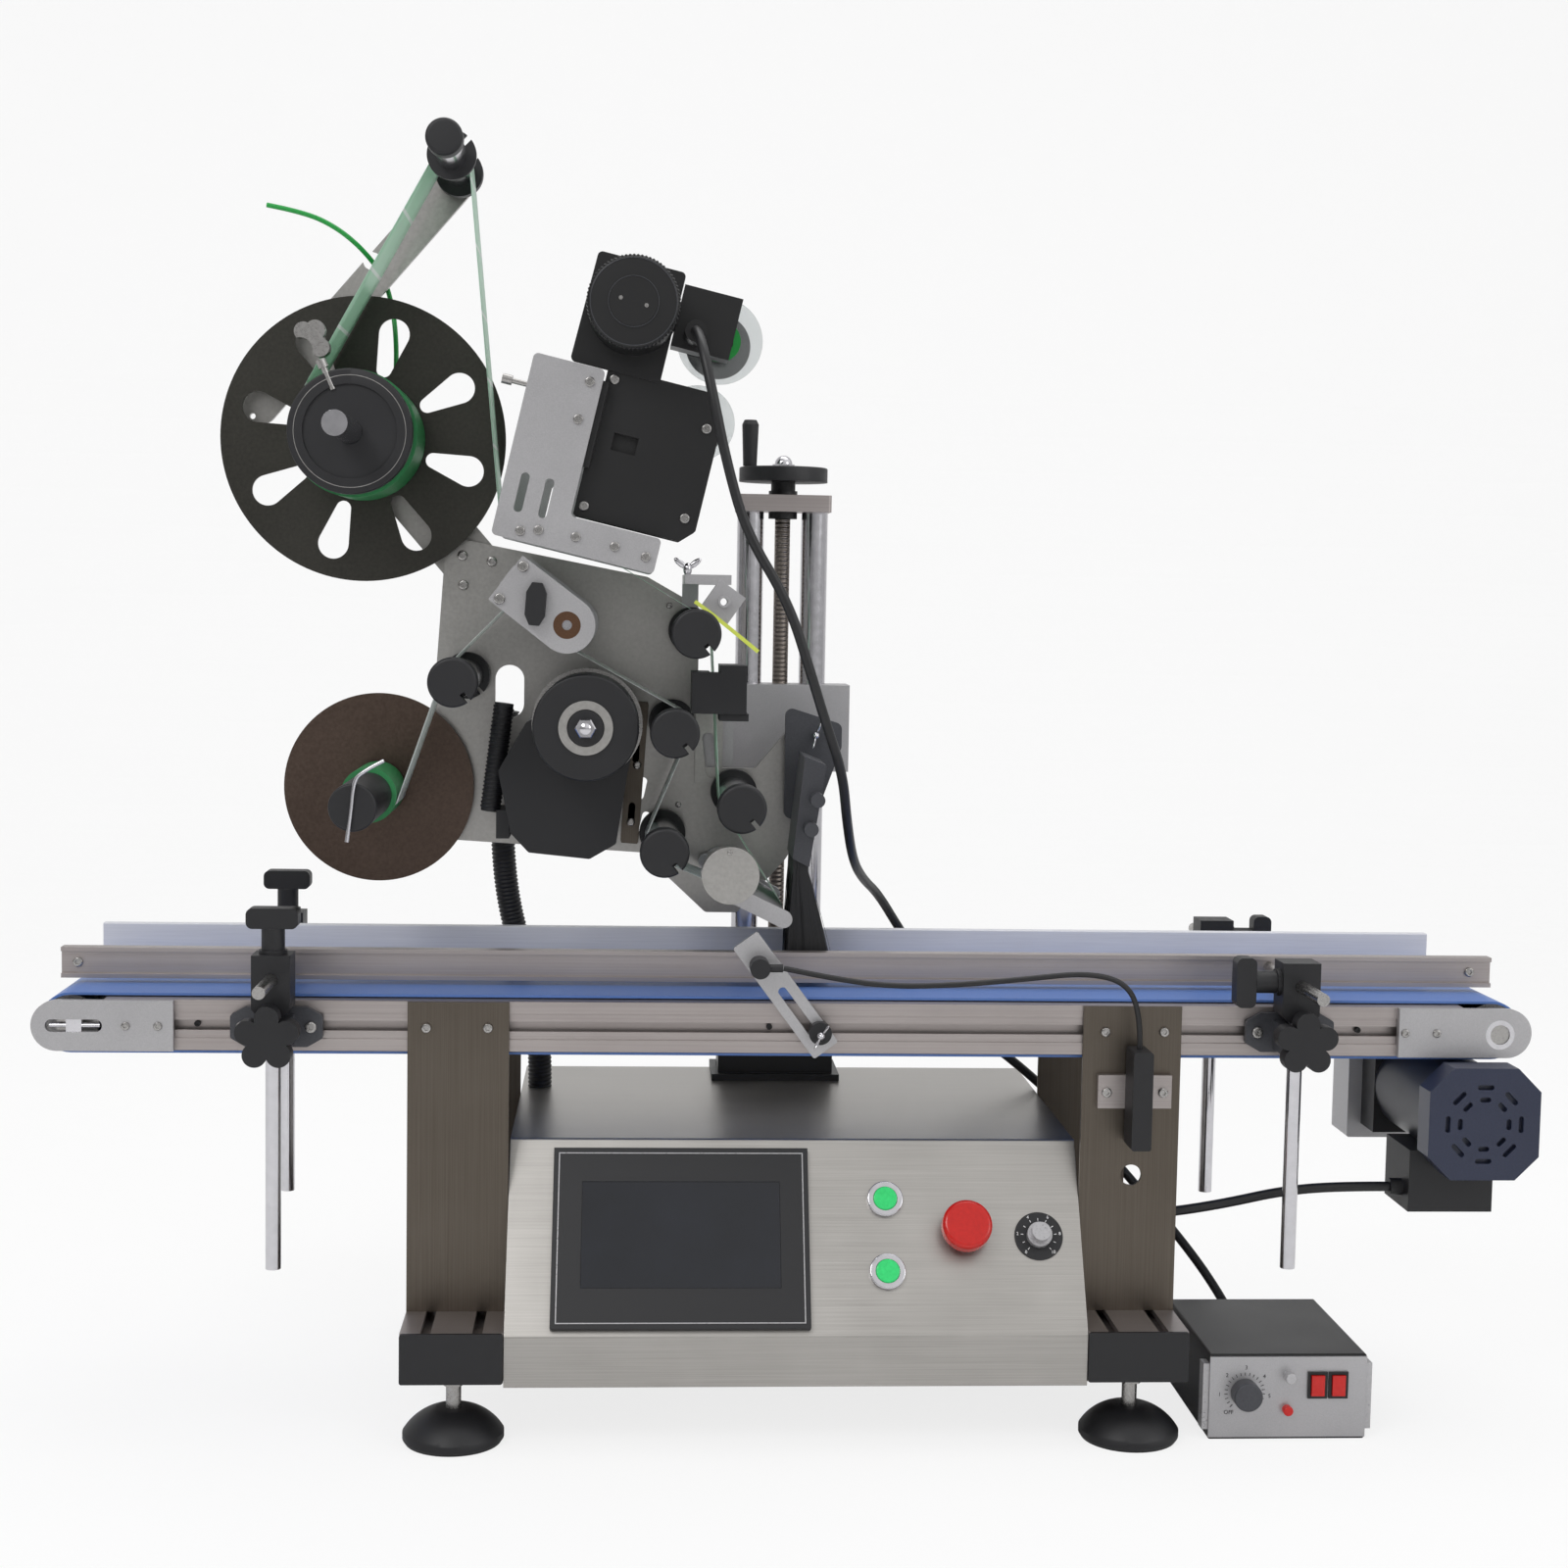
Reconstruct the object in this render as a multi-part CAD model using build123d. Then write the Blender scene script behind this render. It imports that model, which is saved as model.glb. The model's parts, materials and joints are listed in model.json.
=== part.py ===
from build123d import *
import math
import os

# Driving dimensions of a tabletop flat labelling machine, in millimetres.
# X runs along the conveyor, Y away from the operator and Z up from the floor.

# Frame
mid_x = 2.0
leg_offset = 270.0
leg_width = 80.0
plate_steel = 3.0
beam_height = 40.0
beam_front = -174.0
beam_rear = 195.0
beam_z = 55.0
cap_thickness = 3.0
slot_mouth = 8.0
slot_depth = 5.0
foot_dome = 27.0
stud_radius = 6.0
foot_front_y = -145.0
foot_rear_y = 165.0
fit_gap = 0.05
soft_gap = 0.3

# Conveyor
half_length = 600.0
conveyor_width = 200.0
belt_centre_y = -15.0
rail_height = 40.0
rail_depth = 20.0
rail_z = 305.0
rail_setback = 55.0
end_plate_length = 110.0
end_plate_thickness = 6.0
roller_setback = 26.0
roller_radius = 21.7
roller_side_gap = 17.0
belt_side_gap = 14.0
belt_thickness = 2.0
belt_axis_drop = 1.0
axle_radius = 8.0
bed_thickness = 2.5
tension_setback = 33.0
tension_slot = (44.0, 10.0)

# Cabinet
cabinet_bottom = 52.0
skirt_top = 92.0
cabinet_top = 230.0
cabinet_front = -175.0
slope_run = 82.0
cabinet_back = 200.0
sheet = 1.5
side_gap = 0.5

# Operator controls, placed on the sloping panel: along X, up the slope
bezel_width = 204.0
bezel_height = 146.0
bezel_place = (-92.0, 78.0)
bezel_thickness = 6.0
screen_width = 158.0
screen_height = 86.0
start_place = (72.0, 110.0)
stop_place = (72.0, 51.0)
emergency_place = (135.0, 84.0)
speed_place = (195.0, 80.0)
button_radius = 11.0
collar_radius = 14.5
mushroom_radius = 20.0

# Column and lift
column_y = 170.0
post_spacing = 58.0
post_radius = 12.0
post_top = 745.0
base_flange = (116.0, 70.0, 6.0)
base_block = (104.0, 54.0, 54.0)
head_block = (85.0, 50.0, 15.0)
screw_radius = 7.0
screw_lead = 4.0
wheel_radius = 40.0
wheel_z = 772.0
wheel_rim = 13.0
crank_offset = 31.0
crank_radius = 7.5
crank_length = 41.0
carriage_low = 512.0
carriage_high = 590.0
carriage_depth = 40.0
carriage_plate_x = (-85.0, 61.5)

# Labelling head
plate_front = 77.0
head_thickness = 8.0
idler_front = -100.0
idler_rear = 70.0
idler_radius = 14.5
cap_radius = 20.0
far_flange_radius = 20.0
top_cap_radius = 14.7
split_flange_y = -22.0
idler_axle = 5.0
idler_places = {
    "idler_top": (-285.0, 1020.5),
    "idler_liner": (-276.0, 597.0),
    "idler_entry": (-83.5, 638.5),
    "idler_return": (-99.5, 559.0),
    "idler_peel": (-45.0, 499.0),
    "idler_lower": (-106.5, 463.0),
}
reel_place = (-364.0, 796.0)
reel_radius = 120.0
reel_disc_y = 60.0
reel_disc_thickness = 3.0
hub_radius = 50.5
hub_front = -39.0
core_radius = 38.0
reel_shaft_radius = 10.0
reel_shaft_front = -136.0
roll_radius = 52.0
web_y = (-16.0, 58.0)
web_thickness = 0.4
web_gap = 0.3
take_up_place = (-350.5, 499.5)
take_up_radius = 81.0
take_up_core = 19.0
take_up_front = -129.0
feed_place = (-171.0, 561.0)
feed_radius = 43.0
feed_front = -75.0
pinch_place = (-186.5, 643.5)
pinch_radius = 17.0
pinch_guide = (-234.0, 656.0)
guide_pin = 3.5
peel_tip = (-10.0, 410.0)
peel_radius = 3.0
brush_pivot = (12.0, 548.0)
arm_thickness = 6.0
arm_tip = (-285.0, 1020.5)
arm_tail = (-455.0, 823.0)
arm_width = 30.0
bar_foot = (-272.0, 690.0)
bar_top = (-421.0, 862.0)
bar_width = 48.0

# Printer, in its own frame that leans by printer_tilt about its corner
printer_corner = (-248.0, 715.0)
printer_tilt = 13.0
bracket_front = -75.0
bracket_thickness = 5.0
bracket_rear = 62.0
entry_pin = (5.0, 14.0)
exit_pin = (80.0, 4.0)
printer_pin = 4.0

# Guide rails and their clamps
front_guide_y = -55.0
rear_guide_y = 35.0
front_rail_z = (352.0, 377.0)
rear_rail_z = (360.0, 384.0)
clamp_rod = 6.0
clamp_reach = 22.0
clamp_rod_bottom = 136.0
cross_rod_z = 367.0
cross_rod_radius = 5.0
front_clamp_setback = (190.0, 200.0)
rear_clamp_setback = (166.0, 208.0)
cross_rod_reach = 73.0
clamp_low = 338.0
clamp_high = 386.0
star_radius = 25.0
tee_length = 40.0

# Drive motor
motor_setback = 47.5
motor_z = 257.0
motor_front = -152.0
motor_cover = 26.0
motor_half = 45.5
motor_radius = 41.0
gearbox_half = 41.5
gearbox_depth = 35.0
drive_box_depth = 45.0
drive_box_gap = 5.0
drive_box_z = (203.0, 298.5)

# Heater control box on the floor
heater_x = (335.0, 463.0)
heater_y = (-155.0, -7.0)
heater_height = 70.0
heater_panel = 2.0
heater_knob_place = (28.7, 38.7)
heater_trim_place = (64.2, 52.3)
heater_fuse_place = (63.5, 24.8)
rocker_offsets = (87.6, 104.6)
rocker_size = (10.6, 16.6)
rocker_mid = 45.0
rocker_border = 2.6
rocker_gap = 0.2


def block(x0, x1, y0, y1, z0, z1):
    size = Box(x1 - x0, y1 - y0, z1 - z0)
    return Pos((x0 + x1) / 2, (y0 + y1) / 2, (z0 + z1) / 2) * size


def rod_x(y, z, x0, x1, r):
    return Pos((x0 + x1) / 2, y, z) * Rot(0, 90, 0) * Cylinder(r, abs(x1 - x0))


def rod_y(x, z, y0, y1, r):
    return Pos(x, (y0 + y1) / 2, z) * Rot(90, 0, 0) * Cylinder(r, abs(y1 - y0))


def rod_z(x, y, z0, z1, r):
    return Pos(x, y, (z0 + z1) / 2) * Cylinder(r, abs(z1 - z0))


def outline(points, corner=0.0):
    face = Polygon(*points, align=None)
    return fillet(face.vertices(), corner) if corner else face


def upright(sketch, y0, y1):
    """A sketch drawn in X and Z, thick from y0 to y1."""
    return Pos(0, y1, 0) * Rot(90, 0, 0) * extrude(sketch, y1 - y0, dir=(0, 0, 1))


def crosswise(sketch, x0, x1):
    """A sketch drawn in Y and Z, long from x0 to x1."""
    return Pos(x0, 0, 0) * extrude(Plane.YZ * sketch, x1 - x0, dir=(1, 0, 0))


def strip(a, b, width, y0, y1):
    """A flat bar with round ends between two points in X and Z."""
    length = math.hypot(b[0] - a[0], b[1] - a[1])
    angle = math.degrees(math.atan2(b[1] - a[1], b[0] - a[0]))
    sketch = Pos((a[0] + b[0]) / 2, (a[1] + b[1]) / 2) * Rot(0, 0, angle) * SlotCenterToCenter(length, width)
    return upright(sketch, y0, y1)


def save(name, *pieces):
    solids = [solid for piece in pieces for solid in piece.solids()]
    export_step(Compound(solids), f"parts/{name}.step")


# Screws

def pan_screw_y(x, z, face, radius=4.5, height=3.0):
    """A pan head standing on a face that looks towards the operator."""
    head = rod_y(x, z, face - height, face, radius)
    head = fillet(head.edges().group_by(Axis.Y)[0], height * 0.45)
    socket = upright(Pos(x, z) * RegularPolygon(radius * 0.5, 6), face - height - 1, face - height * 0.4)
    return head - socket


# Frame

leg_x = (mid_x - leg_offset, mid_x + leg_offset)
foot_radius = leg_width / 2
beam_top = beam_z + beam_height
front_face = belt_centre_y - conveyor_width / 2
rear_face = belt_centre_y + conveyor_width / 2
rail_top = rail_z + rail_height
rail_mid = rail_z + rail_height / 2
rail_end = half_length - rail_setback
roller_x = half_length - roller_setback
tension_x = -(half_length - tension_setback)
roller_length = conveyor_width - 2 * roller_side_gap
belt_width = conveyor_width - 2 * belt_side_gap
front_clamp_y = front_face - clamp_reach
rear_clamp_y = rear_face + clamp_reach
front_clamp_x = (front_clamp_setback[0] - half_length, half_length - front_clamp_setback[1])
rear_clamp_x = (rear_clamp_setback[0] - half_length, half_length - rear_clamp_setback[1])
motor_x = half_length - motor_setback


def slot_profile(width, height, slots):
    """An extrusion section with its T slots, each given as a point and an angle."""
    section = Rectangle(width, height)
    for x, y, angle in slots:
        mouth = Rectangle(slot_mouth, slot_depth * 2)
        chamber = Pos(0, -slot_depth - 2) * Rectangle(slot_mouth * 1.9, 6)
        section -= Pos(x, y) * Rot(0, 0, angle) * (mouth + chamber)
    return section


def foot_beams():
    pieces = []
    for x in leg_x:
        top = [(side * leg_width / 4, beam_height / 2, 0) for side in (-1, 1)]
        bottom = [(side * leg_width / 4, -beam_height / 2, 180) for side in (-1, 1)]
        sides = [(side * leg_width / 2, 0, -90 * side) for side in (-1, 1)]
        section = Rot(0, 0, 0) * slot_profile(leg_width, beam_height, top + bottom + sides)
        long = upright(Pos(x, beam_z + beam_height / 2) * section, beam_front, beam_rear)
        pads = [rod_z(x, y, beam_z, beam_z + 12, 14) for y in (foot_front_y, foot_rear_y)]
        pieces.append(long + pads[0] + pads[1])
    return pieces


def beam_end_caps():
    caps = []
    for x in leg_x:
        for y0, y1 in ((beam_front - cap_thickness, beam_front), (beam_rear, beam_rear + cap_thickness)):
            cap = block(x - leg_width / 2, x + leg_width / 2, y0, y1, beam_z, beam_top)
            caps.append(fillet(cap.edges().filter_by(Axis.Y), 2))
    return caps


def levelling_feet():
    pieces = []
    for x in leg_x:
        for y in (foot_front_y, foot_rear_y):
            profile = Polyline((0, 0), (foot_radius - 2, 0), (foot_radius, 3), (foot_radius, 8))
            dome = ThreePointArc((foot_radius, 8), (foot_radius * 0.72, 20), (13, foot_dome))
            close = Polyline((13, foot_dome), (0, foot_dome), (0, 0))
            face = make_face([*profile.edges(), dome.edge(), *close.edges()])
            pad = Pos(x, y, 0) * revolve(Plane.XZ * face, Axis.Z)
            stud = rod_z(x, y, foot_dome, beam_z, stud_radius)
            nut = Pos(x, y, beam_z - 9) * extrude(RegularPolygon(11, 6), 9)
            nut -= rod_z(x, y, beam_z - 10, beam_z + 1, stud_radius + fit_gap)
            pieces += [pad, stud, nut]
    return pieces


def leg_plates():
    plates = []
    half = leg_width / 2
    for x in leg_x:
        for outer, inward in ((front_face, -1), (rear_face, 1)):
            y0, y1 = sorted((outer, outer + inward * plate_steel))
            web = block(x - half, x + half, y0, y1, beam_top, rail_top)
            f0, f1 = sorted((outer + inward * plate_steel, outer - inward * 47))
            foot = block(x - half, x + half, f0, f1, beam_top, beam_top + plate_steel)
            plate = web + foot
            if inward < 0 and x > mid_x:
                plate -= rod_y(x + 2, 207, y0 - 1, y1 + 1, 8.5)
            plates.append(plate)
    return plates


# Conveyor

def side_rails():
    rails = []
    for outer, inner in ((front_face, front_face + rail_depth), (rear_face, rear_face - rail_depth)):
        y0, y1 = sorted((outer, inner))
        section = Rectangle(rail_depth, rail_height)
        side = 1 if outer > inner else -1
        mouth = Pos(side * rail_depth / 2, 0) * Rectangle(slot_depth * 2, slot_mouth)
        chamber = Pos(side * (rail_depth / 2 - slot_depth - 2), 0) * Rectangle(5, slot_mouth * 1.9)
        section -= mouth + chamber
        lip = Pos(side * rail_depth / 2, 0) * Rectangle(2.4, slot_mouth * 2.6)
        section -= lip
        rails.append(crosswise(Pos((y0 + y1) / 2, rail_mid) * section, -rail_end, rail_end))
    return rails


def slider_bed():
    y0 = front_face + rail_depth
    y1 = rear_face - rail_depth
    inner = rail_mid - belt_axis_drop + roller_radius
    top = inner - soft_gap
    bed = block(-rail_end, rail_end, y0, y1, top - bed_thickness, top)
    ties = [block(x - 15, x + 15, y0, y1, rail_z + 6, top - bed_thickness) for x in (-rail_end + 145, -130, 130, rail_end - 145)]
    return [bed, *ties]


def end_plates():
    plates = []
    for side in (-1, 1):
        for outer, way in ((front_face, -1), (rear_face, 1)):
            y0, y1 = sorted((outer, outer + way * end_plate_thickness))
            inner_x = side * (half_length - end_plate_length)
            centre = side * (half_length - rail_height / 2)
            x0, x1 = sorted((inner_x, centre))
            plate = block(x0, x1, y0, y1, rail_z, rail_top)
            plate += rod_y(centre, rail_mid, y0, y1, rail_height / 2)
            if side < 0:
                window = Pos(tension_x, rail_mid) * SlotOverall(*tension_slot)
                plate -= upright(window, y0 - 1, y1 + 1)
            else:
                plate -= rod_y(roller_x, rail_mid - belt_axis_drop, y0 - 1, y1 + 1, axle_radius + 4)
            plates.append(plate)
    return plates


def conveyor_belt():
    inner = Pos(0, rail_mid - belt_axis_drop) * SlotCenterToCenter(2 * roller_x, 2 * (roller_radius + soft_gap))
    radius = roller_radius + soft_gap + belt_thickness
    outer = Pos(0, rail_mid - belt_axis_drop) * SlotCenterToCenter(2 * roller_x, 2 * radius)
    half = belt_width / 2
    return upright(outer - inner, belt_centre_y - half, belt_centre_y + half)


def conveyor_roller(side):
    x = side * roller_x
    z = rail_mid - belt_axis_drop
    drum = rod_y(x, z, belt_centre_y - roller_length / 2, belt_centre_y + roller_length / 2, roller_radius)
    reach = conveyor_width / 2 + (0 if side < 0 else end_plate_thickness - 1)
    axle = rod_y(x, z, belt_centre_y - reach + 0.2, belt_centre_y + reach - 0.2, axle_radius)
    return drum + axle


def axle_carriers():
    """Tension blocks and bolts in the left plates, ball bearings in the right plates."""
    pieces = []
    z = rail_mid - belt_axis_drop
    for outer, way in ((front_face, -1), (rear_face, 1)):
        y0, y1 = sorted((outer, outer + way * end_plate_thickness))
        ring = rod_y(roller_x, z, y0, y1, axle_radius + 4)
        ring -= rod_y(roller_x, z, y0 - 1, y1 + 1, axle_radius + fit_gap)
        pieces.append(ring)
        wide = Pos(tension_x, rail_mid) * Rectangle(12, tension_slot[1])
        pieces.append(upright(wide, y0 + 1, y1 - 1))
        for x0, x1 in ((-19, -6), (6, 20)):
            bolt = rod_x((y0 + y1) / 2, rail_mid, tension_x + x0, tension_x + x1, 1.8)
            pieces.append(bolt)
    return pieces


# Cabinet

mid_left = leg_x[0] + leg_width / 2 + side_gap
mid_right = leg_x[1] - leg_width / 2 - side_gap
slope_angle = math.degrees(math.atan2(cabinet_top - skirt_top, slope_run))
slope_length = math.hypot(cabinet_top - skirt_top, slope_run)


def on_slope(place, lift=0.0):
    """A location on the sloping panel, its Z pointing out of the panel."""
    base = Plane(
        origin=(mid_x, cabinet_front, skirt_top),
        x_dir=(1, 0, 0),
        z_dir=(0, -math.sin(math.radians(slope_angle)), math.cos(math.radians(slope_angle))),
    )
    return base.location * Pos(place[0], place[1], lift)


def cabinet_section(inset):
    back = cabinet_back - inset
    front = cabinet_front + inset
    lean = math.radians(slope_angle)
    knee = skirt_top - inset * math.tan((math.pi / 2 - lean) / 2)
    top = cabinet_top - inset
    crest = front + (top - knee) / math.tan(lean)
    low = cabinet_bottom - (inset > 0)
    return Polygon((front, low), (front, knee), (crest, top), (back, top), (back, low), align=None)


def cabinet_shell():
    outer = crosswise(cabinet_section(0), mid_left, mid_right)
    bends = outer.edges().filter_by(Axis.X).group_by(Axis.Z)[1:]
    outer = fillet([edge for group in bends for edge in group], 3)
    shell = outer - crosswise(cabinet_section(sheet), mid_left + sheet, mid_right - sheet)
    window = on_slope(bezel_place, -10) * Box(bezel_width - 12, bezel_height - 12, 30)
    shell -= window
    for place in (start_place, stop_place, emergency_place):
        shell -= on_slope(place) * Cylinder(button_radius + 0.5, 12)
    shell -= on_slope(speed_place) * Cylinder(4, 12)
    return shell


def cabinet_base():
    floor = block(mid_left + sheet, mid_right - sheet, cabinet_front + sheet, cabinet_back - sheet,
                  cabinet_bottom, cabinet_bottom + 2)
    z = cabinet_bottom + 2
    supply = fillet(block(-180, -60, 20, 130, z, z + 45).edges().filter_by(Axis.Z), 3)
    driver = fillet(block(20, 95, 30, 145, z, z + 40).edges().filter_by(Axis.Z), 3)
    controller = fillet(block(130, 210, 40, 140, z, z + 75).edges().filter_by(Axis.Z), 3)
    return [floor, supply, driver, controller]


def touch_panel():
    bezel = on_slope(bezel_place, bezel_thickness / 2) * Box(bezel_width, bezel_height, bezel_thickness)
    bezel = fillet(bezel.edges().filter_by(Axis.X, reverse=True).sort_by(Axis.Y)[:2], 1)
    recess = on_slope((bezel_place[0], bezel_place[1] + 2), bezel_thickness)
    bezel -= recess * Box(screen_width, screen_height, 1.6)
    body = on_slope(bezel_place, -15) * Box(bezel_width - 13, bezel_height - 13, 30)
    glass = recess * Pos(0, 0, -0.55) * Box(screen_width - 0.4, screen_height - 0.4, 0.5)
    return [bezel + body, glass]


def control_bezels():
    pieces = []
    for place in (start_place, stop_place):
        ring = on_slope(place, 2) * Cylinder(collar_radius, 4)
        ring = fillet(ring.edges().filter_by(GeomType.CIRCLE).sort_by(Axis.Z)[-1:], 1.2)
        barrel = on_slope(place, -12) * Cylinder(button_radius + 0.4, 24)
        bore = on_slope(place, -6) * Cylinder(button_radius - 1.2, 30)
        pieces.append(ring + barrel - bore)
    ring = on_slope(emergency_place, 2) * Cylinder(collar_radius, 4)
    barrel = on_slope(emergency_place, -14) * Cylinder(button_radius + 0.4, 28)
    bore = on_slope(emergency_place, -4) * Cylinder(8, 30)
    pieces.append(ring + barrel - bore)
    dial = on_slope(speed_place, 0.6) * Cylinder(19.5, 1.2)
    dial -= on_slope(speed_place) * Cylinder(4, 8)
    pieces.append(dial)
    return pieces


def push_button(place):
    cap = on_slope(place, 1) * Cylinder(button_radius - 1.6, 9)
    return fillet(cap.edges().filter_by(GeomType.CIRCLE).sort_by(Axis.Z)[-1:], 1)


def emergency_stop():
    head = on_slope(emergency_place, 18) * Cylinder(mushroom_radius, 12)
    head = fillet(head.edges().filter_by(GeomType.CIRCLE).sort_by(Axis.Z)[-1:], 4)
    stem = on_slope(emergency_place, 5) * Cylinder(7.6, 16)
    return head + stem


def speed_knob():
    skirt = on_slope(speed_place, 4.5) * Cylinder(10, 6)
    grip = on_slope(speed_place, 11) * Cylinder(7.5, 10)
    shaft = on_slope(speed_place, -4) * Cylinder(3, 14)
    return skirt + grip + shaft


# Column

post_x = (-post_spacing / 2, post_spacing / 2)


def column_frame():
    width, depth, thick = base_flange
    flange = block(-width / 2, width / 2, column_y - depth / 2, column_y + depth / 2,
                   cabinet_top, cabinet_top + thick)
    bw, bd, bh = base_block
    low = cabinet_top + thick
    body = block(-bw / 2, bw / 2, column_y - bd / 2, column_y + bd / 2, low, low + bh)
    tw, td, th = head_block
    head = block(-tw / 2, tw / 2, column_y - td / 2, column_y + td / 2, post_top, post_top + th)
    head = fillet(head.edges().filter_by(Axis.Z), 3)
    head -= rod_z(0, column_y, post_top - 1, post_top + th + 1, screw_radius + 3)
    bush = rod_z(0, column_y, post_top - 6, post_top + th + 4, screw_radius + 3)
    bush += rod_z(0, column_y, post_top + th, post_top + th + 4, screw_radius + 6)
    bush += rod_z(0, column_y, post_top - 6, post_top, screw_radius + 6)
    bush -= rod_z(0, column_y, post_top - 7, post_top + th + 5, screw_radius + fit_gap)
    seat = rod_z(0, column_y, low + bh, low + bh + 5, screw_radius + 6)
    return [flange + body, head, bush, seat]


def column_posts():
    low = cabinet_top + base_flange[2] + base_block[2]
    return [rod_z(x, column_y, low, post_top, post_radius) for x in post_x]


def handwheel():
    low = cabinet_top + base_flange[2] + base_block[2] + 5
    top = post_top + head_block[2] + 4
    screw = rod_z(0, column_y, low, wheel_z + wheel_rim + 6, screw_radius)
    screw += rod_z(0, column_y, top, wheel_z, 11)
    rim = rod_z(0, column_y, wheel_z, wheel_z + wheel_rim, wheel_radius)
    rim -= rod_z(0, column_y, wheel_z + 6, wheel_z + wheel_rim + 1, wheel_radius - 7)
    rim = fillet(rim.edges().filter_by(GeomType.CIRCLE).group_by(Axis.Z)[-1], 1.5)
    nut = Pos(0, column_y, wheel_z + 6) * extrude(RegularPolygon(10, 6), 10)
    nut += Pos(0, column_y, wheel_z + 16) * Sphere(8)
    pin = rod_z(-crank_offset, column_y - 10, wheel_z + 6, wheel_z + wheel_rim + crank_length, 3)
    return rim + screw + nut + pin


def crank_grip():
    low = wheel_z + wheel_rim + 0.5
    profile = [(3.05, low), (6.2, low), (crank_radius, low + crank_length - 4), (crank_radius - 2, low + crank_length),
               (3.05, low + crank_length)]
    face = Plane.XZ * Polygon(*profile, align=None)
    return Pos(-crank_offset, column_y - 10, 0) * revolve(face, Axis.Z)


def carriage_block():
    half = carriage_depth / 2
    body = block(-62, 62, column_y - half, column_y + half, carriage_low, carriage_high)
    for x in post_x:
        body -= rod_z(x, column_y, carriage_low - 1, carriage_high + 1, post_radius + fit_gap)
    body -= rod_z(0, column_y, carriage_low - 1, carriage_high + 1, screw_radius + fit_gap)
    x0, x1 = carriage_plate_x
    face = column_y - half
    plate = block(x0, x1, face - 8, face, carriage_low, carriage_high)
    back = plate_front + head_thickness
    stand = block(x0, x0 + 40, back, face - 8, carriage_low + 8, carriage_high - 8)
    return [body, plate, stand]


# Labelling head

head_outline = [
    (-313, 455), (-305, 575), (-296, 706), (-280, 713), (-122, 684), (-77, 659), (-77, 519),
    (-26, 519), (8, 560), (24, 560), (24, 478), (2, 440), (-40, 392), (-68, 392), (-124, 444),
]


def head_plate():
    sheet_face = outline(head_outline, 5)
    plate = upright(sheet_face, plate_front, plate_front + head_thickness)
    slot = Pos(-240, 583) * Rot(0, 0, 90) * SlotOverall(46, 25)
    plate -= upright(slot, plate_front - 1, plate_front + head_thickness + 1)
    for x, z, turn in ((-122, 470, 78), (-125, 500, 78)):
        cut = Pos(x, z) * Rot(0, 0, turn) * SlotOverall(20, 7)
        plate -= upright(cut, plate_front - 1, plate_front + head_thickness + 1)
    window = Pos(-66, 530) * Rot(0, 0, 97) * SlotOverall(40, 10)
    strip_face = Pos(-67, 548) * Rectangle(24, 84)
    bracket = upright(strip_face - window, plate_front - 4, plate_front)
    return [plate, bracket]


def reel_bar():
    y0 = plate_front + head_thickness
    y1 = y0 + arm_thickness
    arm = strip(arm_tail, arm_tip, arm_width, y0, y1)
    bar = strip(bar_foot, bar_top, bar_width, y0, y1)
    plate = arm + bar
    plate -= rod_y(-360.4, 948.7, y0 - 1, y1 + 1, 7.8)
    plate -= rod_y(arm_tail[0] - 6, arm_tail[1] - 8, y0 - 1, y1 + 1, 2.5)
    rx, rz = reel_place
    shaft = rod_y(rx, rz, reel_shaft_front, y0, reel_shaft_radius)
    pulley = rod_y(rx, rz, reel_disc_y + 8, y0, 22) - rod_y(rx, rz, reel_disc_y + 7, y0, reel_shaft_radius)
    tx, tz = idler_places["idler_top"]
    return [plate, shaft, pulley, rod_y(tx, tz, idler_front + 6, y0, idler_axle)]


def plate_shafts():
    pieces = []
    for name, (x, z) in idler_places.items():
        if name != "idler_top":
            pieces.append(rod_y(x, z, idler_front + 6, plate_front, idler_axle))
    tx, tz = take_up_place
    back = plate_front + head_thickness
    pieces.append(rod_y(tx, tz, take_up_front + 6, back + 13, 7))
    ear = strip((tx, tz), (-272, 484), 40, back, back + 6)
    pieces.append(ear - rod_y(tx, tz, 0, 120, 7))
    fx, fz = feed_place
    pieces.append(rod_y(fx, fz, feed_front + 4, plate_front, 6))
    px, pz = pinch_place
    pieces.append(rod_y(px, pz, -82, plate_front, 4))
    return pieces


def idler(x, z, near_radius=cap_radius, split=False):
    tube = rod_y(x, z, idler_front + 8, idler_rear, idler_radius if not split else idler_radius - 2)
    cap = rod_y(x, z, idler_front, idler_front + 14, near_radius)
    cap = fillet(cap.edges().filter_by(GeomType.CIRCLE).group_by(Axis.Y)[0], 3)
    far = rod_y(x, z, web_y[1] + 1, idler_rear, far_flange_radius)
    body = tube + cap + far
    if split:
        body += rod_y(x, z, split_flange_y, web_y[0] - 1, far_flange_radius)
    body -= rod_y(x, z, idler_front + 5.5, idler_rear + 1, idler_axle + fit_gap)
    notch = Pos(x + 12, z - 14) * Rot(0, 0, -50) * Rectangle(14, 4)
    if split:
        notch = Pos(x + 13, z + 13) * Rot(0, 0, 45) * Rectangle(14, 5)
    body -= upright(notch, web_y[1], idler_rear + 1)
    body -= upright(notch, idler_front - 1, idler_front + 15) if not split else upright(notch, -23, web_y[0])
    return body


def unwind_disc():
    x, z = reel_place
    face = Circle(reel_radius)
    for k in range(8):
        angle = 74 + 45 * k
        tip = PolarLocations(61, 1, angle).locations[0] * Circle(6.4)
        end = PolarLocations(92, 1, angle).locations[0] * Circle(13)
        face -= make_hull((tip + end).edges())
    face -= Circle(reel_shaft_radius + fit_gap)
    return upright(Pos(x, z) * face, reel_disc_y, reel_disc_y + reel_disc_thickness)


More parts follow.
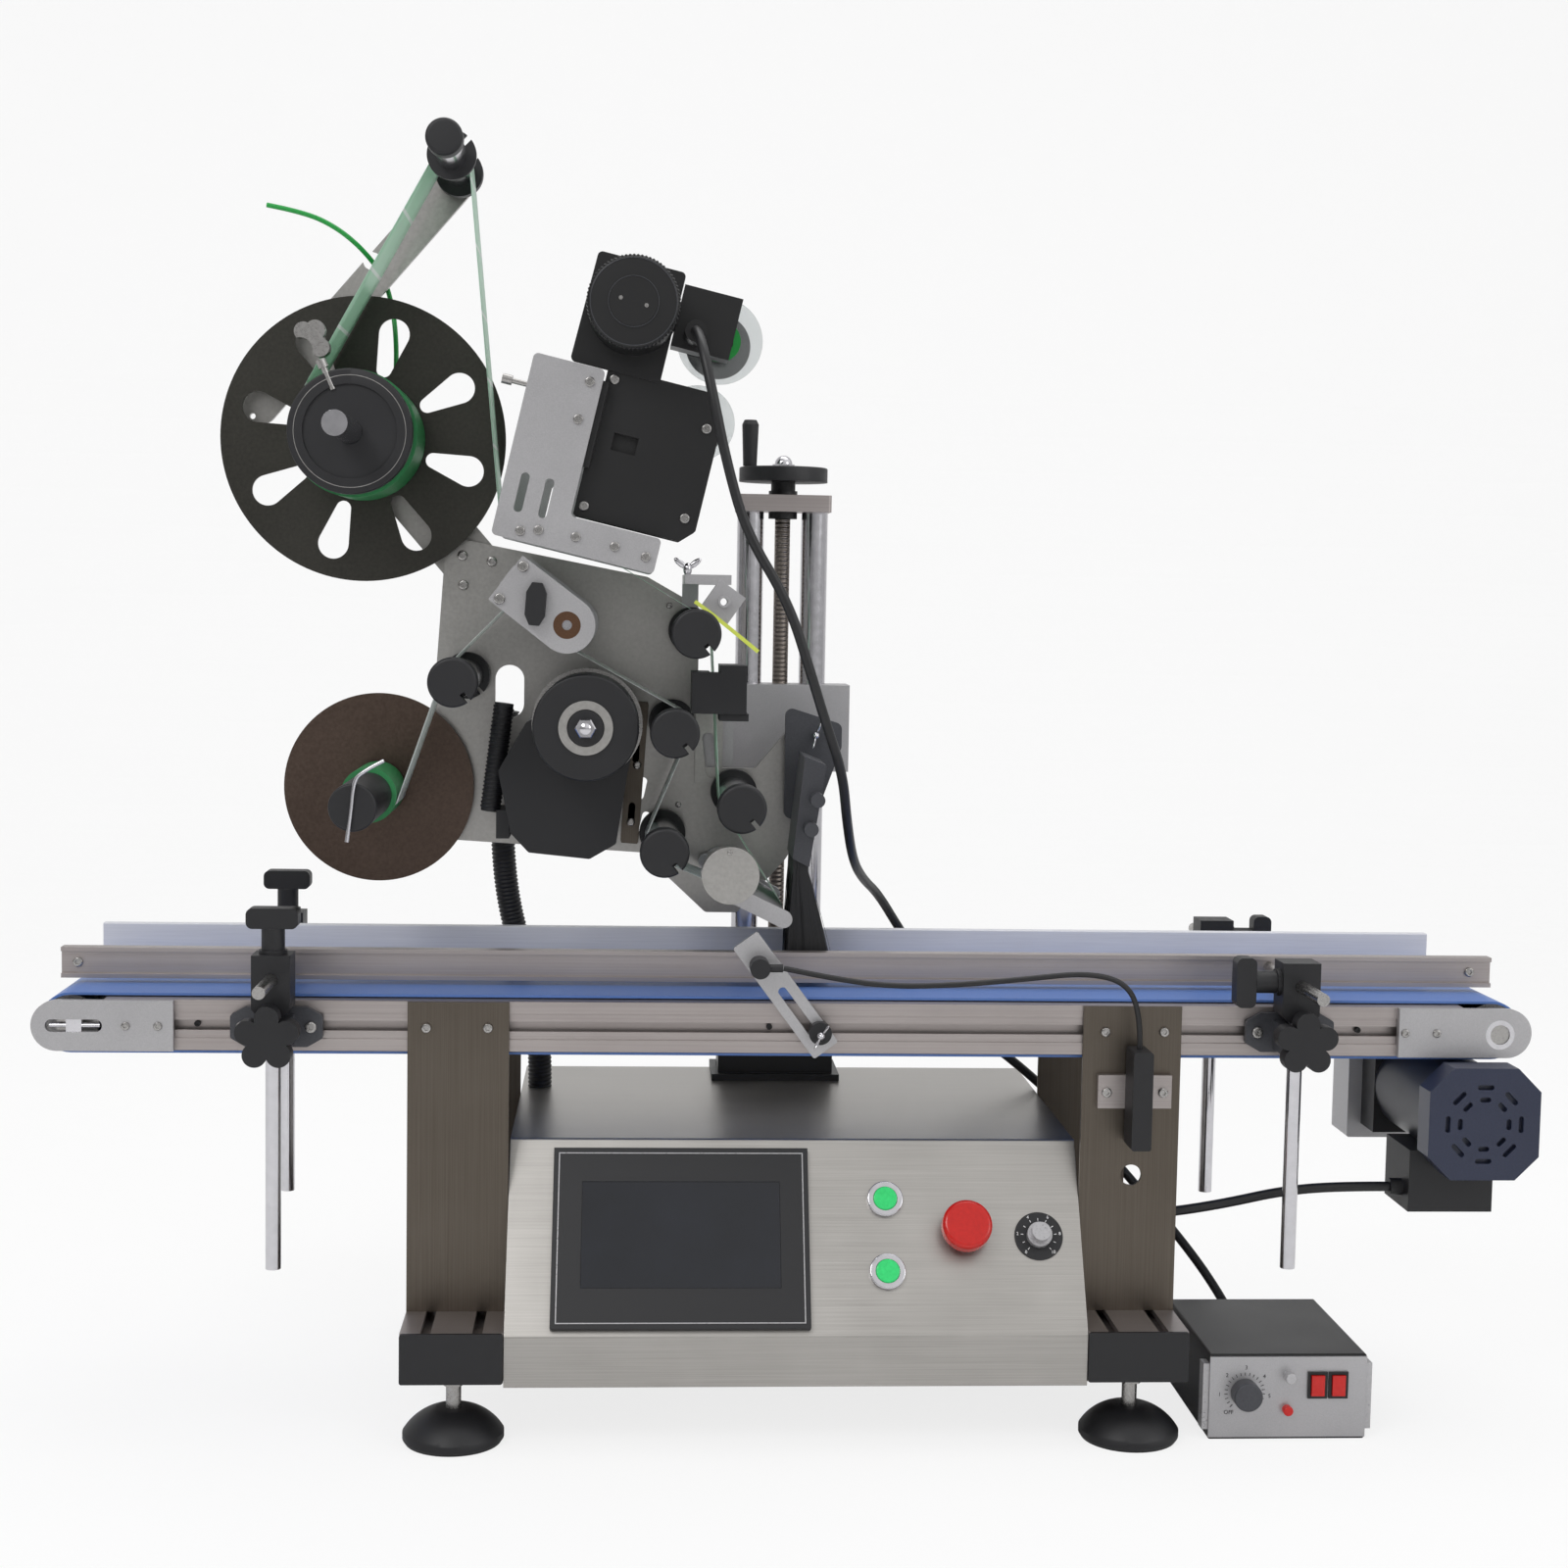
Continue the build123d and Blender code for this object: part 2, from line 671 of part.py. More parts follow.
def unwind_hub():
    x, z = reel_place
    core = rod_y(x, z, hub_front, reel_disc_y, core_radius)
    rim = rod_y(x, z, hub_front, hub_front + 8, hub_radius)
    rim = fillet(rim.edges().filter_by(GeomType.CIRCLE).group_by(Axis.Y)[0], 1.5)
    body = core + rim
    body -= rod_y(x, z, hub_front - 1, hub_front + 2, core_radius)
    body -= rod_y(x, z, hub_front - 2, reel_disc_y + 1, reel_shaft_radius + fit_gap)
    return body


def label_roll():
    x, z = reel_place
    roll = rod_y(x, z, *web_y, roll_radius)
    return roll - rod_y(x, z, web_y[0] - 1, web_y[1] + 1, core_radius)


def core_stop():
    """A split collar and its screw, the screw seated in the rim of the hub in front of the labels."""
    x, z = reel_place
    y0 = hub_front - 4
    y1 = hub_front + 8
    far = (x - 36.5, z + 78.5)
    near = (x - 23.2, z + 66)
    clamp = strip(far, near, 15, y0, y1)
    clamp += rod_y(x - 27.5, z + 80, y0 + 3, y1, 8)
    clamp -= rod_y(x - 39, z + 63.5, y0 - 1, y1 + 1, 10)
    lean = math.degrees(math.atan2(15.2, 35.4))
    middle = (y0 + y1) / 2
    head = Pos(x - 22.2, middle, z + 53.5) * Rot(0, -lean, 0) * Cylinder(4.2, 7)
    shank = Pos(x - 18.5, middle, z + 45) * Rot(0, -lean, 0) * Cylinder(2.5, 26)
    return clamp + head + shank


def take_up_reel():
    x, z = take_up_place
    bore = rod_y(x, z, take_up_front + 5, 70, 7 + fit_gap)
    disc = rod_y(x, z, 66, 69, take_up_radius) - bore
    core = rod_y(x, z, take_up_front, 66, take_up_core)
    core = fillet(core.edges().filter_by(GeomType.CIRCLE).group_by(Axis.Y)[0], 2) - bore
    wound = rod_y(x, z, *web_y, take_up_core + 4) - rod_y(x, z, -81, 67, take_up_core)
    return [disc, core, wound]


def feed_wheel():
    x, z = feed_place
    drum = rod_y(x, z, feed_front, feed_front + 62, feed_radius)
    drum = fillet(drum.edges().filter_by(GeomType.CIRCLE).group_by(Axis.Y)[0], 2)
    ring = rod_y(x, z, feed_front - 2, feed_front, 22) - rod_y(x, z, feed_front - 3, feed_front, 15)
    boss = rod_y(x, z, feed_front - 4, feed_front, 14.5)
    flange = rod_y(x, z, feed_front + 62, feed_front + 66, feed_radius + 3)
    bore = rod_y(x, z, feed_front + 3, feed_front + 70, 6 + fit_gap)
    return [drum - bore, ring, boss, flange - bore]


def feed_gearcase():
    profile = [(-245, 520), (-234, 468), (-219, 452), (-168, 447), (-146, 460), (-137, 520), (-128, 561),
               (-171, 590), (-222, 561)]
    case = upright(outline(profile, 4), -5, plate_front)
    x, z = feed_place
    case -= rod_y(x, z, -6, plate_front + 1, 6 + 4)
    screw = pan_screw_y(-163, 524, -5, 6, 4)
    sleeve = Pos(-247, 20, 530) * Rot(0, 7, 0) * Cylinder(8, 92)
    side = block(-247, -236, 10, 60, 462, 486) - case
    return [case, screw, sleeve, side]


def pinch_bracket():
    px, pz = pinch_place
    gx, gz = pinch_guide
    pieces = []
    edge = Polyline((-249, 663), (-222, 698), (-221, 697))
    face = make_hull([*edge.edges(), *(Pos(px, pz) * Circle(22.6)).edges()])
    for y0, y1 in ((-88, -82), (62, 68)):
        plate = upright(face, y0, y1) - rod_y(px, pz, y0 - 1, y1 + 1, 11)
        pieces += [plate, rod_y(px, pz, y0, y1, 11) - rod_y(px, pz, y0 - 1, y1 + 1, 4)]
    pieces.append(strip((-236, 674), (-227, 686), 9, -82, 62))
    pieces.append(strip((-236, 674), (-227, 686), 9, 68, plate_front))
    pieces.append(rod_y(gx, gz, -82, 62, guide_pin))
    pieces += [pan_screw_y(x, z, -88) for x, z in ((-221.5, 689.5), (-240, 663.6))]
    return pieces


def pinch_roller():
    px, pz = pinch_place
    drum = rod_y(px, pz, -81.7, 61.7, pinch_radius)
    return drum - rod_y(px, pz, -83, 63, 4 + fit_gap)


def pinch_knob():
    x, z = -211.0, 660.0
    wing = outline([(-8, -9), (-4, -17), (4, -17), (8, -9), (8, 9), (4, 17), (-4, 17), (-8, 9)], 1)
    head = upright(Pos(x, z) * Rot(0, 0, -4) * wing, -100, -90)
    return head + rod_y(x, z, -90, -88.3, 8)


# Printer

def leaning(shape):
    x, z = printer_corner
    return Pos(x, 0, z) * Rot(0, printer_tilt, 0) * shape


def printer_bracket():
    pieces = []
    for y0 in (bracket_front, bracket_rear):
        profile = [(0, 0), (133, 0), (133, 29), (58, 29), (58, 148), (0, 148)]
        plate = upright(outline(profile, 4), y0, y0 + bracket_thickness)
        for u in (16, 36):
            slot = Pos(u, 38) * Rot(0, 0, 90) * SlotOverall(32, 7)
            plate -= upright(slot, y0 - 1, y0 + bracket_thickness + 1)
        pieces.append(leaning(plate))
    y0 = bracket_front + bracket_thickness
    for place, radius in ((entry_pin, printer_pin), (exit_pin, printer_pin), ((120, 14), 5), ((30, 130), 5)):
        pieces.append(leaning(rod_y(*place, y0, bracket_rear, radius)))
    pieces.append(leaning(upright(Pos(40, 10) * Rectangle(60, 14), bracket_rear + bracket_thickness, plate_front)))
    pieces.append(leaning(rod_x(y0 - 2.5, 122, -12, 0, 2.2)))
    pieces.append(leaning(rod_x(y0 - 2.5, 122, -20, -12, 4)))
    for u, w in ((48, 136), (46, 105), (22, 8), (36, 12), (66, 14), (98, 14), (124, 12)):
        pieces.append(leaning(pan_screw_y(u, w, bracket_front, 4, 2.4)))
    return pieces


def printer_body():
    profile = [(59, 31), (147, 31), (158, 42), (158, 136), (142, 153), (59, 153)]
    plates = [upright(outline(profile, 2), y0, y0 + 4) for y0 in (-58, -16)]
    core = upright(Pos(105, 95) * Rectangle(82, 100), -54, -16)
    window = upright(Pos(86, 96) * Rectangle(20, 14), -59, -50)
    carrier = block(44, 63, bracket_front + bracket_thickness, -54, 70, 140)
    frame = plates[0] + plates[1] + core + carrier - window
    mount = upright(outline([(28, 150), (102, 150), (102, 240), (30, 240)], 4), -60, -54)
    coil = rod_y(68, 201, -118, -60, 36)
    coil = fillet(coil.edges().filter_by(GeomType.CIRCLE).group_by(Axis.Y)[0], 3)
    disc = rod_y(68, 201, -119, -118, 19)
    junction = upright(Pos(127, 206) * Rectangle(48, 50), -62, -30)
    plug = rod_y(120, 193, -100, -62, 8.5)
    rear = upright(Pos(80, 174) * Rectangle(36, 42), -54, -12)
    upper = rod_y(141, 198, -30, 18, 5)
    lower = rod_y(139, 130, -12, 33, 5)
    screws = [pan_screw_y(u, w, -58, 4, 2.4) for u, w in ((147, 124), (66, 40), (147, 50), (66, 144))]
    return [leaning(shape) for shape in (frame, mount, coil, disc, junction, plug, rear, upper, lower, *screws)]


def ribbon_spool(u, w, r, y0):
    clear = rod_y(u, w, y0, y0 + 2, r)
    core = rod_y(u, w, y0 + 2, y0 + 42, 14)
    dark = rod_y(u, w, y0 + 42, y0 + 44, r * 0.77)
    bore = rod_y(u, w, y0 - 1, y0 + 46, 5 + fit_gap)
    return leaning(clear + core + dark - bore)


# Peeling nose, sensors and brush

def peel_assembly():
    tx, tz = peel_tip
    cheeks = [strip((-68, 438), (tx, tz), 14, y0, y1) for y0, y1 in ((-95, -90), (66, 71))]
    edge = strip((-60, 441), (tx, tz), 2 * peel_radius, -90, 66)
    drum = rod_y(-54, 447, -112, -95, 23)
    boss = rod_y(-54, 447, -90, web_y[0] - 6, 12) - edge
    lug = rod_y(-58, 440, 71, plate_front, 10)
    return [*cheeks, edge, drum, boss, lug]


def label_sensor():
    left = block(-85, -70, -40, 12, 572, 606)
    right = block(-62, -40, -40, 12, 572, 612)
    spine = block(-70, -62, -40, -22, 572, 606)
    foot = block(-62, -38, -36, 8, 566, 572)
    stand = block(-83, -73, 12, plate_front - 4, 574, 588)
    cube = Pos(-60, -30, 664) * Rot(0, 35, 0) * Box(26, 18, 26)
    bore = rod_y(-60, 664, -40, -20, 5)
    tube = rod_y(-60, 664, -44, -21, 5) - rod_y(-60, 664, -45, -20, 3)
    rail = block(-92, -54, -38, plate_front, 678, 686) + block(-92, -78, idler_rear + 1, plate_front, 645, 686)
    return [left + right + spine + foot, stand, cube - bore - rail, tube, rail]


def brush_arm():
    plate = upright(outline([(-2, 575), (47, 560), (47, 540), (22, 470), (-2, 480)], 6), 50, 56)
    bar = upright(outline([(9, 538), (27, 531), (14, 446), (0, 453)], 1), -40, 30)
    stays = [rod_y(19, 503, -58, 50, 6), rod_y(14, 479, -58, 50, 6)]
    tuft = upright(outline([(1, 453), (12, 447.5), (34, 360), (-2, 358)], 1), -38, 28)
    pivot = rod_y(*brush_pivot, 56, plate_front - fit_gap, 8)
    return [plate + bar + stays[0] + stays[1] + pivot, tuft - bar]


def product_sensor():
    y = front_face - 14
    bar = upright(outline([(-52, 391), (-33, 405), (33, 317), (14, 303)], 2), y, y + 4)
    slot = strip((-12, 357), (15, 321), 7, y - 1, y + 5)
    foot = rod_y(18, rail_mid, y + 4, front_face - 0.3, 8)
    knob = rod_y(18, rail_mid, y - 9, y, 9)
    eye = rod_y(-31, 378, y - 20, y, 8)
    tail = rod_x(y - 14, 378, -23.5, -13, 3.2)
    return [bar - slot, foot, knob, eye + tail]


# Label web

def at_printer(place):
    """A point of the leaning printer frame, in X and Z."""
    tilt = math.radians(printer_tilt)
    u, w = place
    x, z = printer_corner
    return (x + u * math.cos(tilt) + w * math.sin(tilt), z - u * math.sin(tilt) + w * math.cos(tilt))


def web_route():
    """Circles the web runs round: centre, radius and 1 if the circle lies left of the travel, -1 if right."""
    roller = idler_radius
    spots = idler_places
    return [
        (reel_place, roll_radius, -1), (spots["idler_top"], roller - 2, -1),
        (at_printer(entry_pin), printer_pin, 1), (at_printer(exit_pin), printer_pin, -1),
        (spots["idler_entry"], roller, -1), (spots["idler_peel"], roller, 1), (peel_tip, peel_radius, -1),
        (spots["idler_lower"], roller, -1), (spots["idler_return"], roller, 1), (pinch_place, pinch_radius, -1),
        (pinch_guide, guide_pin, 1), (spots["idler_liner"], roller, 1), (take_up_place, take_up_core + 4, -1),
    ]


def web_points():
    """The web's centre line: tangents between the circles, joined by arcs round them."""
    circles = [(place, radius + web_gap + web_thickness / 2, side) for place, radius, side in web_route()]
    joins = []
    for (a, ra, sa), (b, rb, sb) in zip(circles, circles[1:]):
        dx, dz = b[0] - a[0], b[1] - a[1]
        heading = math.atan2(dz, dx) - math.asin((sb * rb - sa * ra) / math.hypot(dx, dz))
        nx, nz = -math.sin(heading), math.cos(heading)
        joins.append(((a[0] - sa * ra * nx, a[1] - sa * ra * nz), (b[0] - sb * rb * nx, b[1] - sb * rb * nz)))
    start, end = joins[0]
    lead = 0.06
    points = [(start[0] + (end[0] - start[0]) * lead, start[1] + (end[1] - start[1]) * lead)]
    for (centre, radius, side), (_, arrive), (leave, _) in zip(circles[1:], joins, joins[1:]):
        first = math.atan2(arrive[1] - centre[1], arrive[0] - centre[0])
        sweep_angle = (math.atan2(leave[1] - centre[1], leave[0] - centre[0]) - first) * side % (2 * math.pi)
        steps = max(2, math.ceil(sweep_angle / 0.16))
        for k in range(steps + 1):
            angle = first + side * sweep_angle * k / steps
            points.append((centre[0] + radius * math.cos(angle), centre[1] + radius * math.sin(angle)))
    points.append(joins[-1][1])
    return points


def label_web():
    line = web_points()
    sides = ([], [])
    for k, (x, z) in enumerate(line):
        before = line[max(k - 1, 0)]
        after = line[min(k + 1, len(line) - 1)]
        run = math.hypot(after[0] - before[0], after[1] - before[1])
        nx, nz = (before[1] - after[1]) / run, (after[0] - before[0]) / run
        for way, edge in zip((-1, 1), sides):
            edge.append((x + way * nx * web_thickness / 2, z + way * nz * web_thickness / 2))
    band = Polygon(*sides[0], *reversed(sides[1]), align=None)
    return upright(band, *web_y)


# Guides

def guide_clamps(xs, y, way):
    """Brackets on the side rails, with bosses round the upright rods."""
    pieces = []
    face = front_face if way < 0 else rear_face
    for x in xs:
        corners = [(-36, -9), (-24, -16), (24, -16), (36, -9), (36, 9), (24, 16), (-24, 16), (-36, 9)]
        profile = [(x + dx, rail_mid + dz) for dx, dz in corners]
        y0, y1 = sorted((face, face + way * 6))
        plate = upright(outline(profile, 3), y0, y1)
        b0, b1 = sorted((face + way * 6, y + way * 14))
        boss = block(x - 14, x + 14, b0, b1, rail_mid - 13, clamp_low - 3)
        pieces.append(plate + boss - rod_z(x, y, rail_mid - 25, clamp_low + 12, clamp_rod + fit_gap))
        if way < 0:
            pieces += [pan_screw_y(x + side * 27, rail_mid, y0, 4.5, 3) for side in (-1, 1)]
    return pieces


def star_knob(x, y, way):
    face = y + way * 14
    z = rail_mid
    blank = Circle(star_radius * 0.62)
    for k in range(5):
        blank += PolarLocations(star_radius * 0.62, 1, 90 + 72 * k).locations[0] * Circle(star_radius * 0.38)
    y0, y1 = sorted((face + way * 8, face + way * 22))
    head = upright(Pos(x, z) * blank, y0, y1)
    n0, n1 = sorted((face, face + way * 8))
    return head + rod_y(x, z, n0, n1, 8)


def clamp_posts(xs, y):
    pieces = []
    for x in xs:
        rod = rod_z(x, y, clamp_rod_bottom, clamp_low + 8, clamp_rod)
        body = block(x - 15, x + 15, y - 14, y + 14, clamp_low, clamp_high)
        body = chamfer(body.edges().filter_by(Axis.Y).group_by(Axis.Z)[0], 6)
        body -= rod_z(x, y, clamp_low - 1, clamp_low + 8, clamp_rod)
        body -= rod_y(x, cross_rod_z, y - 20, y + 20, cross_rod_radius + fit_gap)
        pieces += [rod, body]
    return pieces


def tee_knob(x, y, side=0):
    """A tee grip on top of a clamp body, or on its side when side is -1 or 1."""
    stem = rod_z(0, 0, 0, 20, 9)
    washer = rod_z(0, 0, 0, 3, 11)
    grip = block(-tee_length / 2, tee_length / 2, -8, 8, 20, 36)
    grip = fillet(grip.edges().filter_by(Axis.Y), 5)
    knob = stem + washer + grip
    if side:
        return Pos(x + side * 15, y, cross_rod_z + 2) * Rot(0, 90 * side, 0) * knob
    return Pos(x, y, clamp_high) * knob


def front_guide():
    z0, z1 = front_rail_z
    y = front_guide_y
    section = Pos(y + 6, (z0 + z1) / 2) * Rectangle(12, z1 - z0)
    section -= Pos(y + 1, (z0 + z1) / 2) * Rectangle(4, z1 - z0 - 7)
    rail = crosswise(section, 8 - half_length, half_length - 11)
    rods = [rod_y(x, cross_rod_z, front_clamp_y - cross_rod_reach, y + 3, cross_rod_radius) for x in front_clamp_x]
    screws = [pan_screw_y(x, (z0 + z1) / 2, y + 3, 4, 2.4) for x in (21 - half_length, half_length - 29)]
    return [rail, *rods, *screws]


def rear_guide():
    z0, z1 = rear_rail_z
    y = rear_guide_y
    bar = block(22 - half_length, half_length - 36, y, y + 10, z0, z1)
    bar = fillet(bar.edges().filter_by(Axis.X), 1)
    rods = [rod_y(x, cross_rod_z, y + 10, rear_clamp_y + cross_rod_reach, cross_rod_radius) for x in rear_clamp_x]
    return [bar, *rods]


# Drive

def gear_motor():
    x, z = motor_x, motor_z
    face = motor_front + motor_cover
    blank = chamfer(Rectangle(2 * motor_half, 2 * motor_half).vertices(), motor_half * 0.42)
    cover = upright(Pos(x, z) * blank, motor_front, face)
    for radius in (30, 20):
        for k in range(8):
            place = PolarLocations(radius, 1, 45 * k).locations[0]
            slot = Pos(x, z) * place * Rot(0, 0, 90) * SlotOverall(radius * 0.45, 4)
            cover -= upright(slot, motor_front - 1, motor_front + 5)
    box_back = rear_face - drive_box_gap
    box_front = box_back - drive_box_depth
    drum = rod_y(x, z, face, box_front - gearbox_depth, motor_radius)
    half = gearbox_half
    gearbox = block(x - half, x + half, box_front - gearbox_depth, box_front, z - half, z + half)
    terminal = block(x - 47.5, x + 22.5, -115, -55, z - 81, z - 30) - drum
    low, high = drive_box_z
    drive_box = block(half_length - 101, half_length - 3, box_front, box_back, low, high)
    drive_box = fillet(drive_box.edges().filter_by(Axis.Y), 2)
    riser = block(half_length - 93, rail_end, rear_face - 12, rear_face - 1, high, rail_z)
    gland = rod_x(-95, z - 65, x - 57.5, x - 47.5, 7)
    return [cover, drum, gearbox, terminal, drive_box, riser, gland]


# Sensor amplifier and heater box

def sensor_amplifier():
    x = leg_x[1] + 2
    y1 = front_face - plate_steel
    rail = block(x - 30, x + 30, y1 - 6, y1, 263, 290)
    body = block(x - 8, x + 8, y1 - 36, y1 - 6, 235, 314)
    screws = [pan_screw_y(x + side * 23, 276, y1 - 6, 4, 2.4) for side in (-1, 1)]
    return [rail, fillet(body.edges().filter_by(Axis.Y), 2), *screws]


def heater_box():
    x0, x1 = heater_x
    y0, y1 = heater_y
    body = block(x0, x1, y0 + heater_panel, y1, 0, heater_height)
    body = fillet(body.edges().filter_by(Axis.Y), 2)
    panel = block(x0, x1, y0, y0 + heater_panel, 2, heater_height - 2)
    pieces = [body, panel]
    for (dx, z), radius, length in ((heater_trim_place, 4.5, 9), (heater_fuse_place, 4, 6)):
        button = rod_y(x0 + dx, z, y0 - length, y0, radius)
        pieces.append(fillet(button.edges().filter_by(GeomType.CIRCLE).group_by(Axis.Y)[0], 1))
    for offset in rocker_offsets:
        wide, tall = rocker_size[0] + 2 * rocker_border, rocker_size[1] + 2 * rocker_border
        rim = Rectangle(wide, tall) - Rectangle(rocker_size[0] + 2 * rocker_gap, rocker_size[1] + 2 * rocker_gap)
        pieces.append(upright(Pos(x0 + offset, rocker_mid) * rim, y0 - 2, y0))
    for side, x in ((-1, x0), (1, x1)):
        ear = block(*sorted((x, x + side * 5)), y0 + heater_panel, y0 + 14, 8, heater_height - 8)
        pieces.append(ear)
    return pieces


def heater_knob():
    x, z = heater_x[0] + heater_knob_place[0], heater_knob_place[1]
    y = heater_y[0]
    knob = rod_y(x, z, y - 14, y - 0.3, 11.5)
    return fillet(knob.edges().filter_by(GeomType.CIRCLE).group_by(Axis.Y)[0], 1.5)


def rocker(offset):
    x = heater_x[0] + offset
    y = heater_y[0]
    width, height = rocker_size
    return block(x - width / 2, x + width / 2, y - 4, y - 0.3, rocker_mid - height / 2, rocker_mid + height / 2)


# Cords

def cord(points, radius, name):
    vectors = [Vector(*p) for p in points]
    radii = []
    for a, b, c in zip(vectors, vectors[1:], vectors[2:]):
        turn = math.radians((b - a).get_angle(c - b))
        radii.append(0.45 * min((b - a).length, (c - b).length) / math.tan(turn / 2))
    print(name, "radii", [round(r) for r in radii])
    path = FilletPolyline(*vectors, radius=radii)
    start = Plane(origin=vectors[0], z_dir=vectors[1] - vectors[0])
    tube = sweep(start * Circle(radius), path=path)
    print(name, "length", round(path.length), "volume ratio", round(tube.volume / (math.pi * radius ** 2 * path.length), 4))
    return tube


def sensor_cable():
    y = front_face - 28
    run = [(-12.4, y, 378), (20, y - 4, 372), (70, y - 6, 365), (125, y - 8, 367), (180, y - 6, 372), (228, y - 4, 377),
           (262, y + 2, 368), (leg_x[1] + 2, y + 6, 340), (leg_x[1] + 2, y + 6, 314)]
    return cord(run, 2.2, "sensor_cable")


def motor_cable():
    y = -95
    run = [(motor_x - 57.8, y, motor_z - 65), (450, y, 192), (405, y, 188), (360, y, 178), (318, y, 171), (275, y, 167),
           (mid_right + 0.3, y, 167)]
    return cord(run, 4, "motor_cable")


def coder_cable():
    px, pz = at_printer((120, 193))
    run = [(px, -101.5, pz), (px + 2, -132, pz - 4), (px + 12, -150, pz - 50), (px + 24, -150, pz - 105),
           (px + 40, -148, pz - 158), (-14, -146, 665), (4, -145, 612), (18, -136, 570), (34, -110, 530),
           (42, -70, 486), (52, -20, 450), (66, 34, 428), (84, 78, 410), (106, 106, 376), (140, 116, 326), (176, 118, 282),
           (222, 112, 248), (262, 106, 212), (305, 98, 168), (345, 84, 122), (376, 62, 84), (394, 42, 56), (398, 22, 44),
           (398, heater_y[1] + 0.3, 44)]
    return cord(run, 4, "coder_cable")


def harness_hose():
    run = [(-212, 110, cabinet_top + fit_gap), (-212, 110, 285), (-226, 110, 340), (-241, 110, 392), (-247, 109, 446),
           (-247, 107, 506), (-243, 104, 565)]
    return cord(run, 10.5, "harness_hose")


def brake_cord():
    x, z = reel_place
    side = x + 22 + 2.1 + soft_gap
    run = [(-447, 72, 991), (-416, 73, 986), (-390, 75, 975), (-368, 80.4, 958), (-351.4, 99.4, 937), (-343, 98, 908),
           (side + 1, 82, 872), (side, 77, 838), (side, 77, z)]
    return cord(run, 2.1, "brake_cord")


def main():
    os.makedirs("parts", exist_ok=True)
    save("cabinet_shell", cabinet_shell())
    save("cabinet_base", *cabinet_base())
    save("foot_beams", *foot_beams(), *beam_end_caps())
    save("levelling_feet", *levelling_feet())
    save("leg_plates", *leg_plates())
    save("conveyor_frame", *side_rails(), *slider_bed())
    save("end_plates", *end_plates(), *axle_carriers())
    save("conveyor_belt", conveyor_belt())
    save("tail_roller", conveyor_roller(-1))
    save("drive_roller", conveyor_roller(1))
    save("gear_motor", *gear_motor())
    save("touch_panel", *touch_panel())
    save("control_bezels", *control_bezels())
    save("start_button", push_button(start_place))
    save("stop_button", push_button(stop_place))
    save("emergency_stop", emergency_stop())
    save("speed_knob", speed_knob())
    save("column_frame", *column_frame(), *column_posts())
    save("handwheel", handwheel())
    save("crank_grip", crank_grip())
    save("carriage_block", *carriage_block())
    save("head_plate", *head_plate(), *plate_shafts())
    save("reel_bar", *reel_bar())
    save("idler_top", idler(*idler_places["idler_top"], top_cap_radius, True))
    for name in ("idler_liner", "idler_entry", "idler_return", "idler_peel", "idler_lower"):
        save(name, idler(*idler_places[name]))
    save("unwind_reel", unwind_disc(), core_stop(), unwind_hub(), label_roll())
    save("take_up_reel", *take_up_reel())
    save("feed_wheel", *feed_wheel())
    save("feed_gearcase", *feed_gearcase())
    save("pinch_bracket", *pinch_bracket())
    save("pinch_roller", pinch_roller())
    save("pinch_knob", pinch_knob())
    save("printer_bracket", *printer_bracket())
    save("printer_body", *printer_body())
    save("ribbon_spool_upper", ribbon_spool(141, 198, 35, -26))
    save("ribbon_spool_lower", ribbon_spool(139, 130, 31, -11.5))
    save("label_web", label_web())
    save("peel_assembly", *peel_assembly())
    save("label_sensor", *label_sensor())
    save("brush_arm", *brush_arm())
    save("product_sensor", *product_sensor())
    front_stars = [star_knob(x, front_clamp_y, -1) for x in front_clamp_x]
    rear_stars = [star_knob(x, rear_clamp_y, 1) for x in rear_clamp_x]
    front_brackets = guide_clamps(front_clamp_x, front_clamp_y, -1)
    save("rail_brackets", *front_brackets, *guide_clamps(rear_clamp_x, rear_clamp_y, 1), *front_stars, *rear_stars)
    front_tees = [tee_knob(front_clamp_x[0], front_clamp_y), tee_knob(front_clamp_x[1], front_clamp_y, -1)]
    rear_tees = [tee_knob(rear_clamp_x[0], rear_clamp_y), tee_knob(rear_clamp_x[1], rear_clamp_y, 1)]
    save("front_posts", *clamp_posts(front_clamp_x, front_clamp_y), *front_tees)
    save("rear_posts", *clamp_posts(rear_clamp_x, rear_clamp_y), *rear_tees)
    save("front_guide", *front_guide())
    save("rear_guide", *rear_guide())
    save("sensor_amplifier", *sensor_amplifier())
    save("heater_box", *heater_box())
    save("heater_knob", heater_knob())
    save("rocker_left", rocker(rocker_offsets[0]))
    save("rocker_right", rocker(rocker_offsets[1]))
    save("sensor_cable", sensor_cable())
    save("motor_cable", motor_cable())
    save("coder_cable", coder_cable())
    save("harness_hose", harness_hose())
    save("brake_cord", brake_cord())


if __name__ == "__main__":
    main()
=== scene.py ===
import bpy
import bmesh
import json
import math
import numpy as np
from mathutils import Matrix, Vector

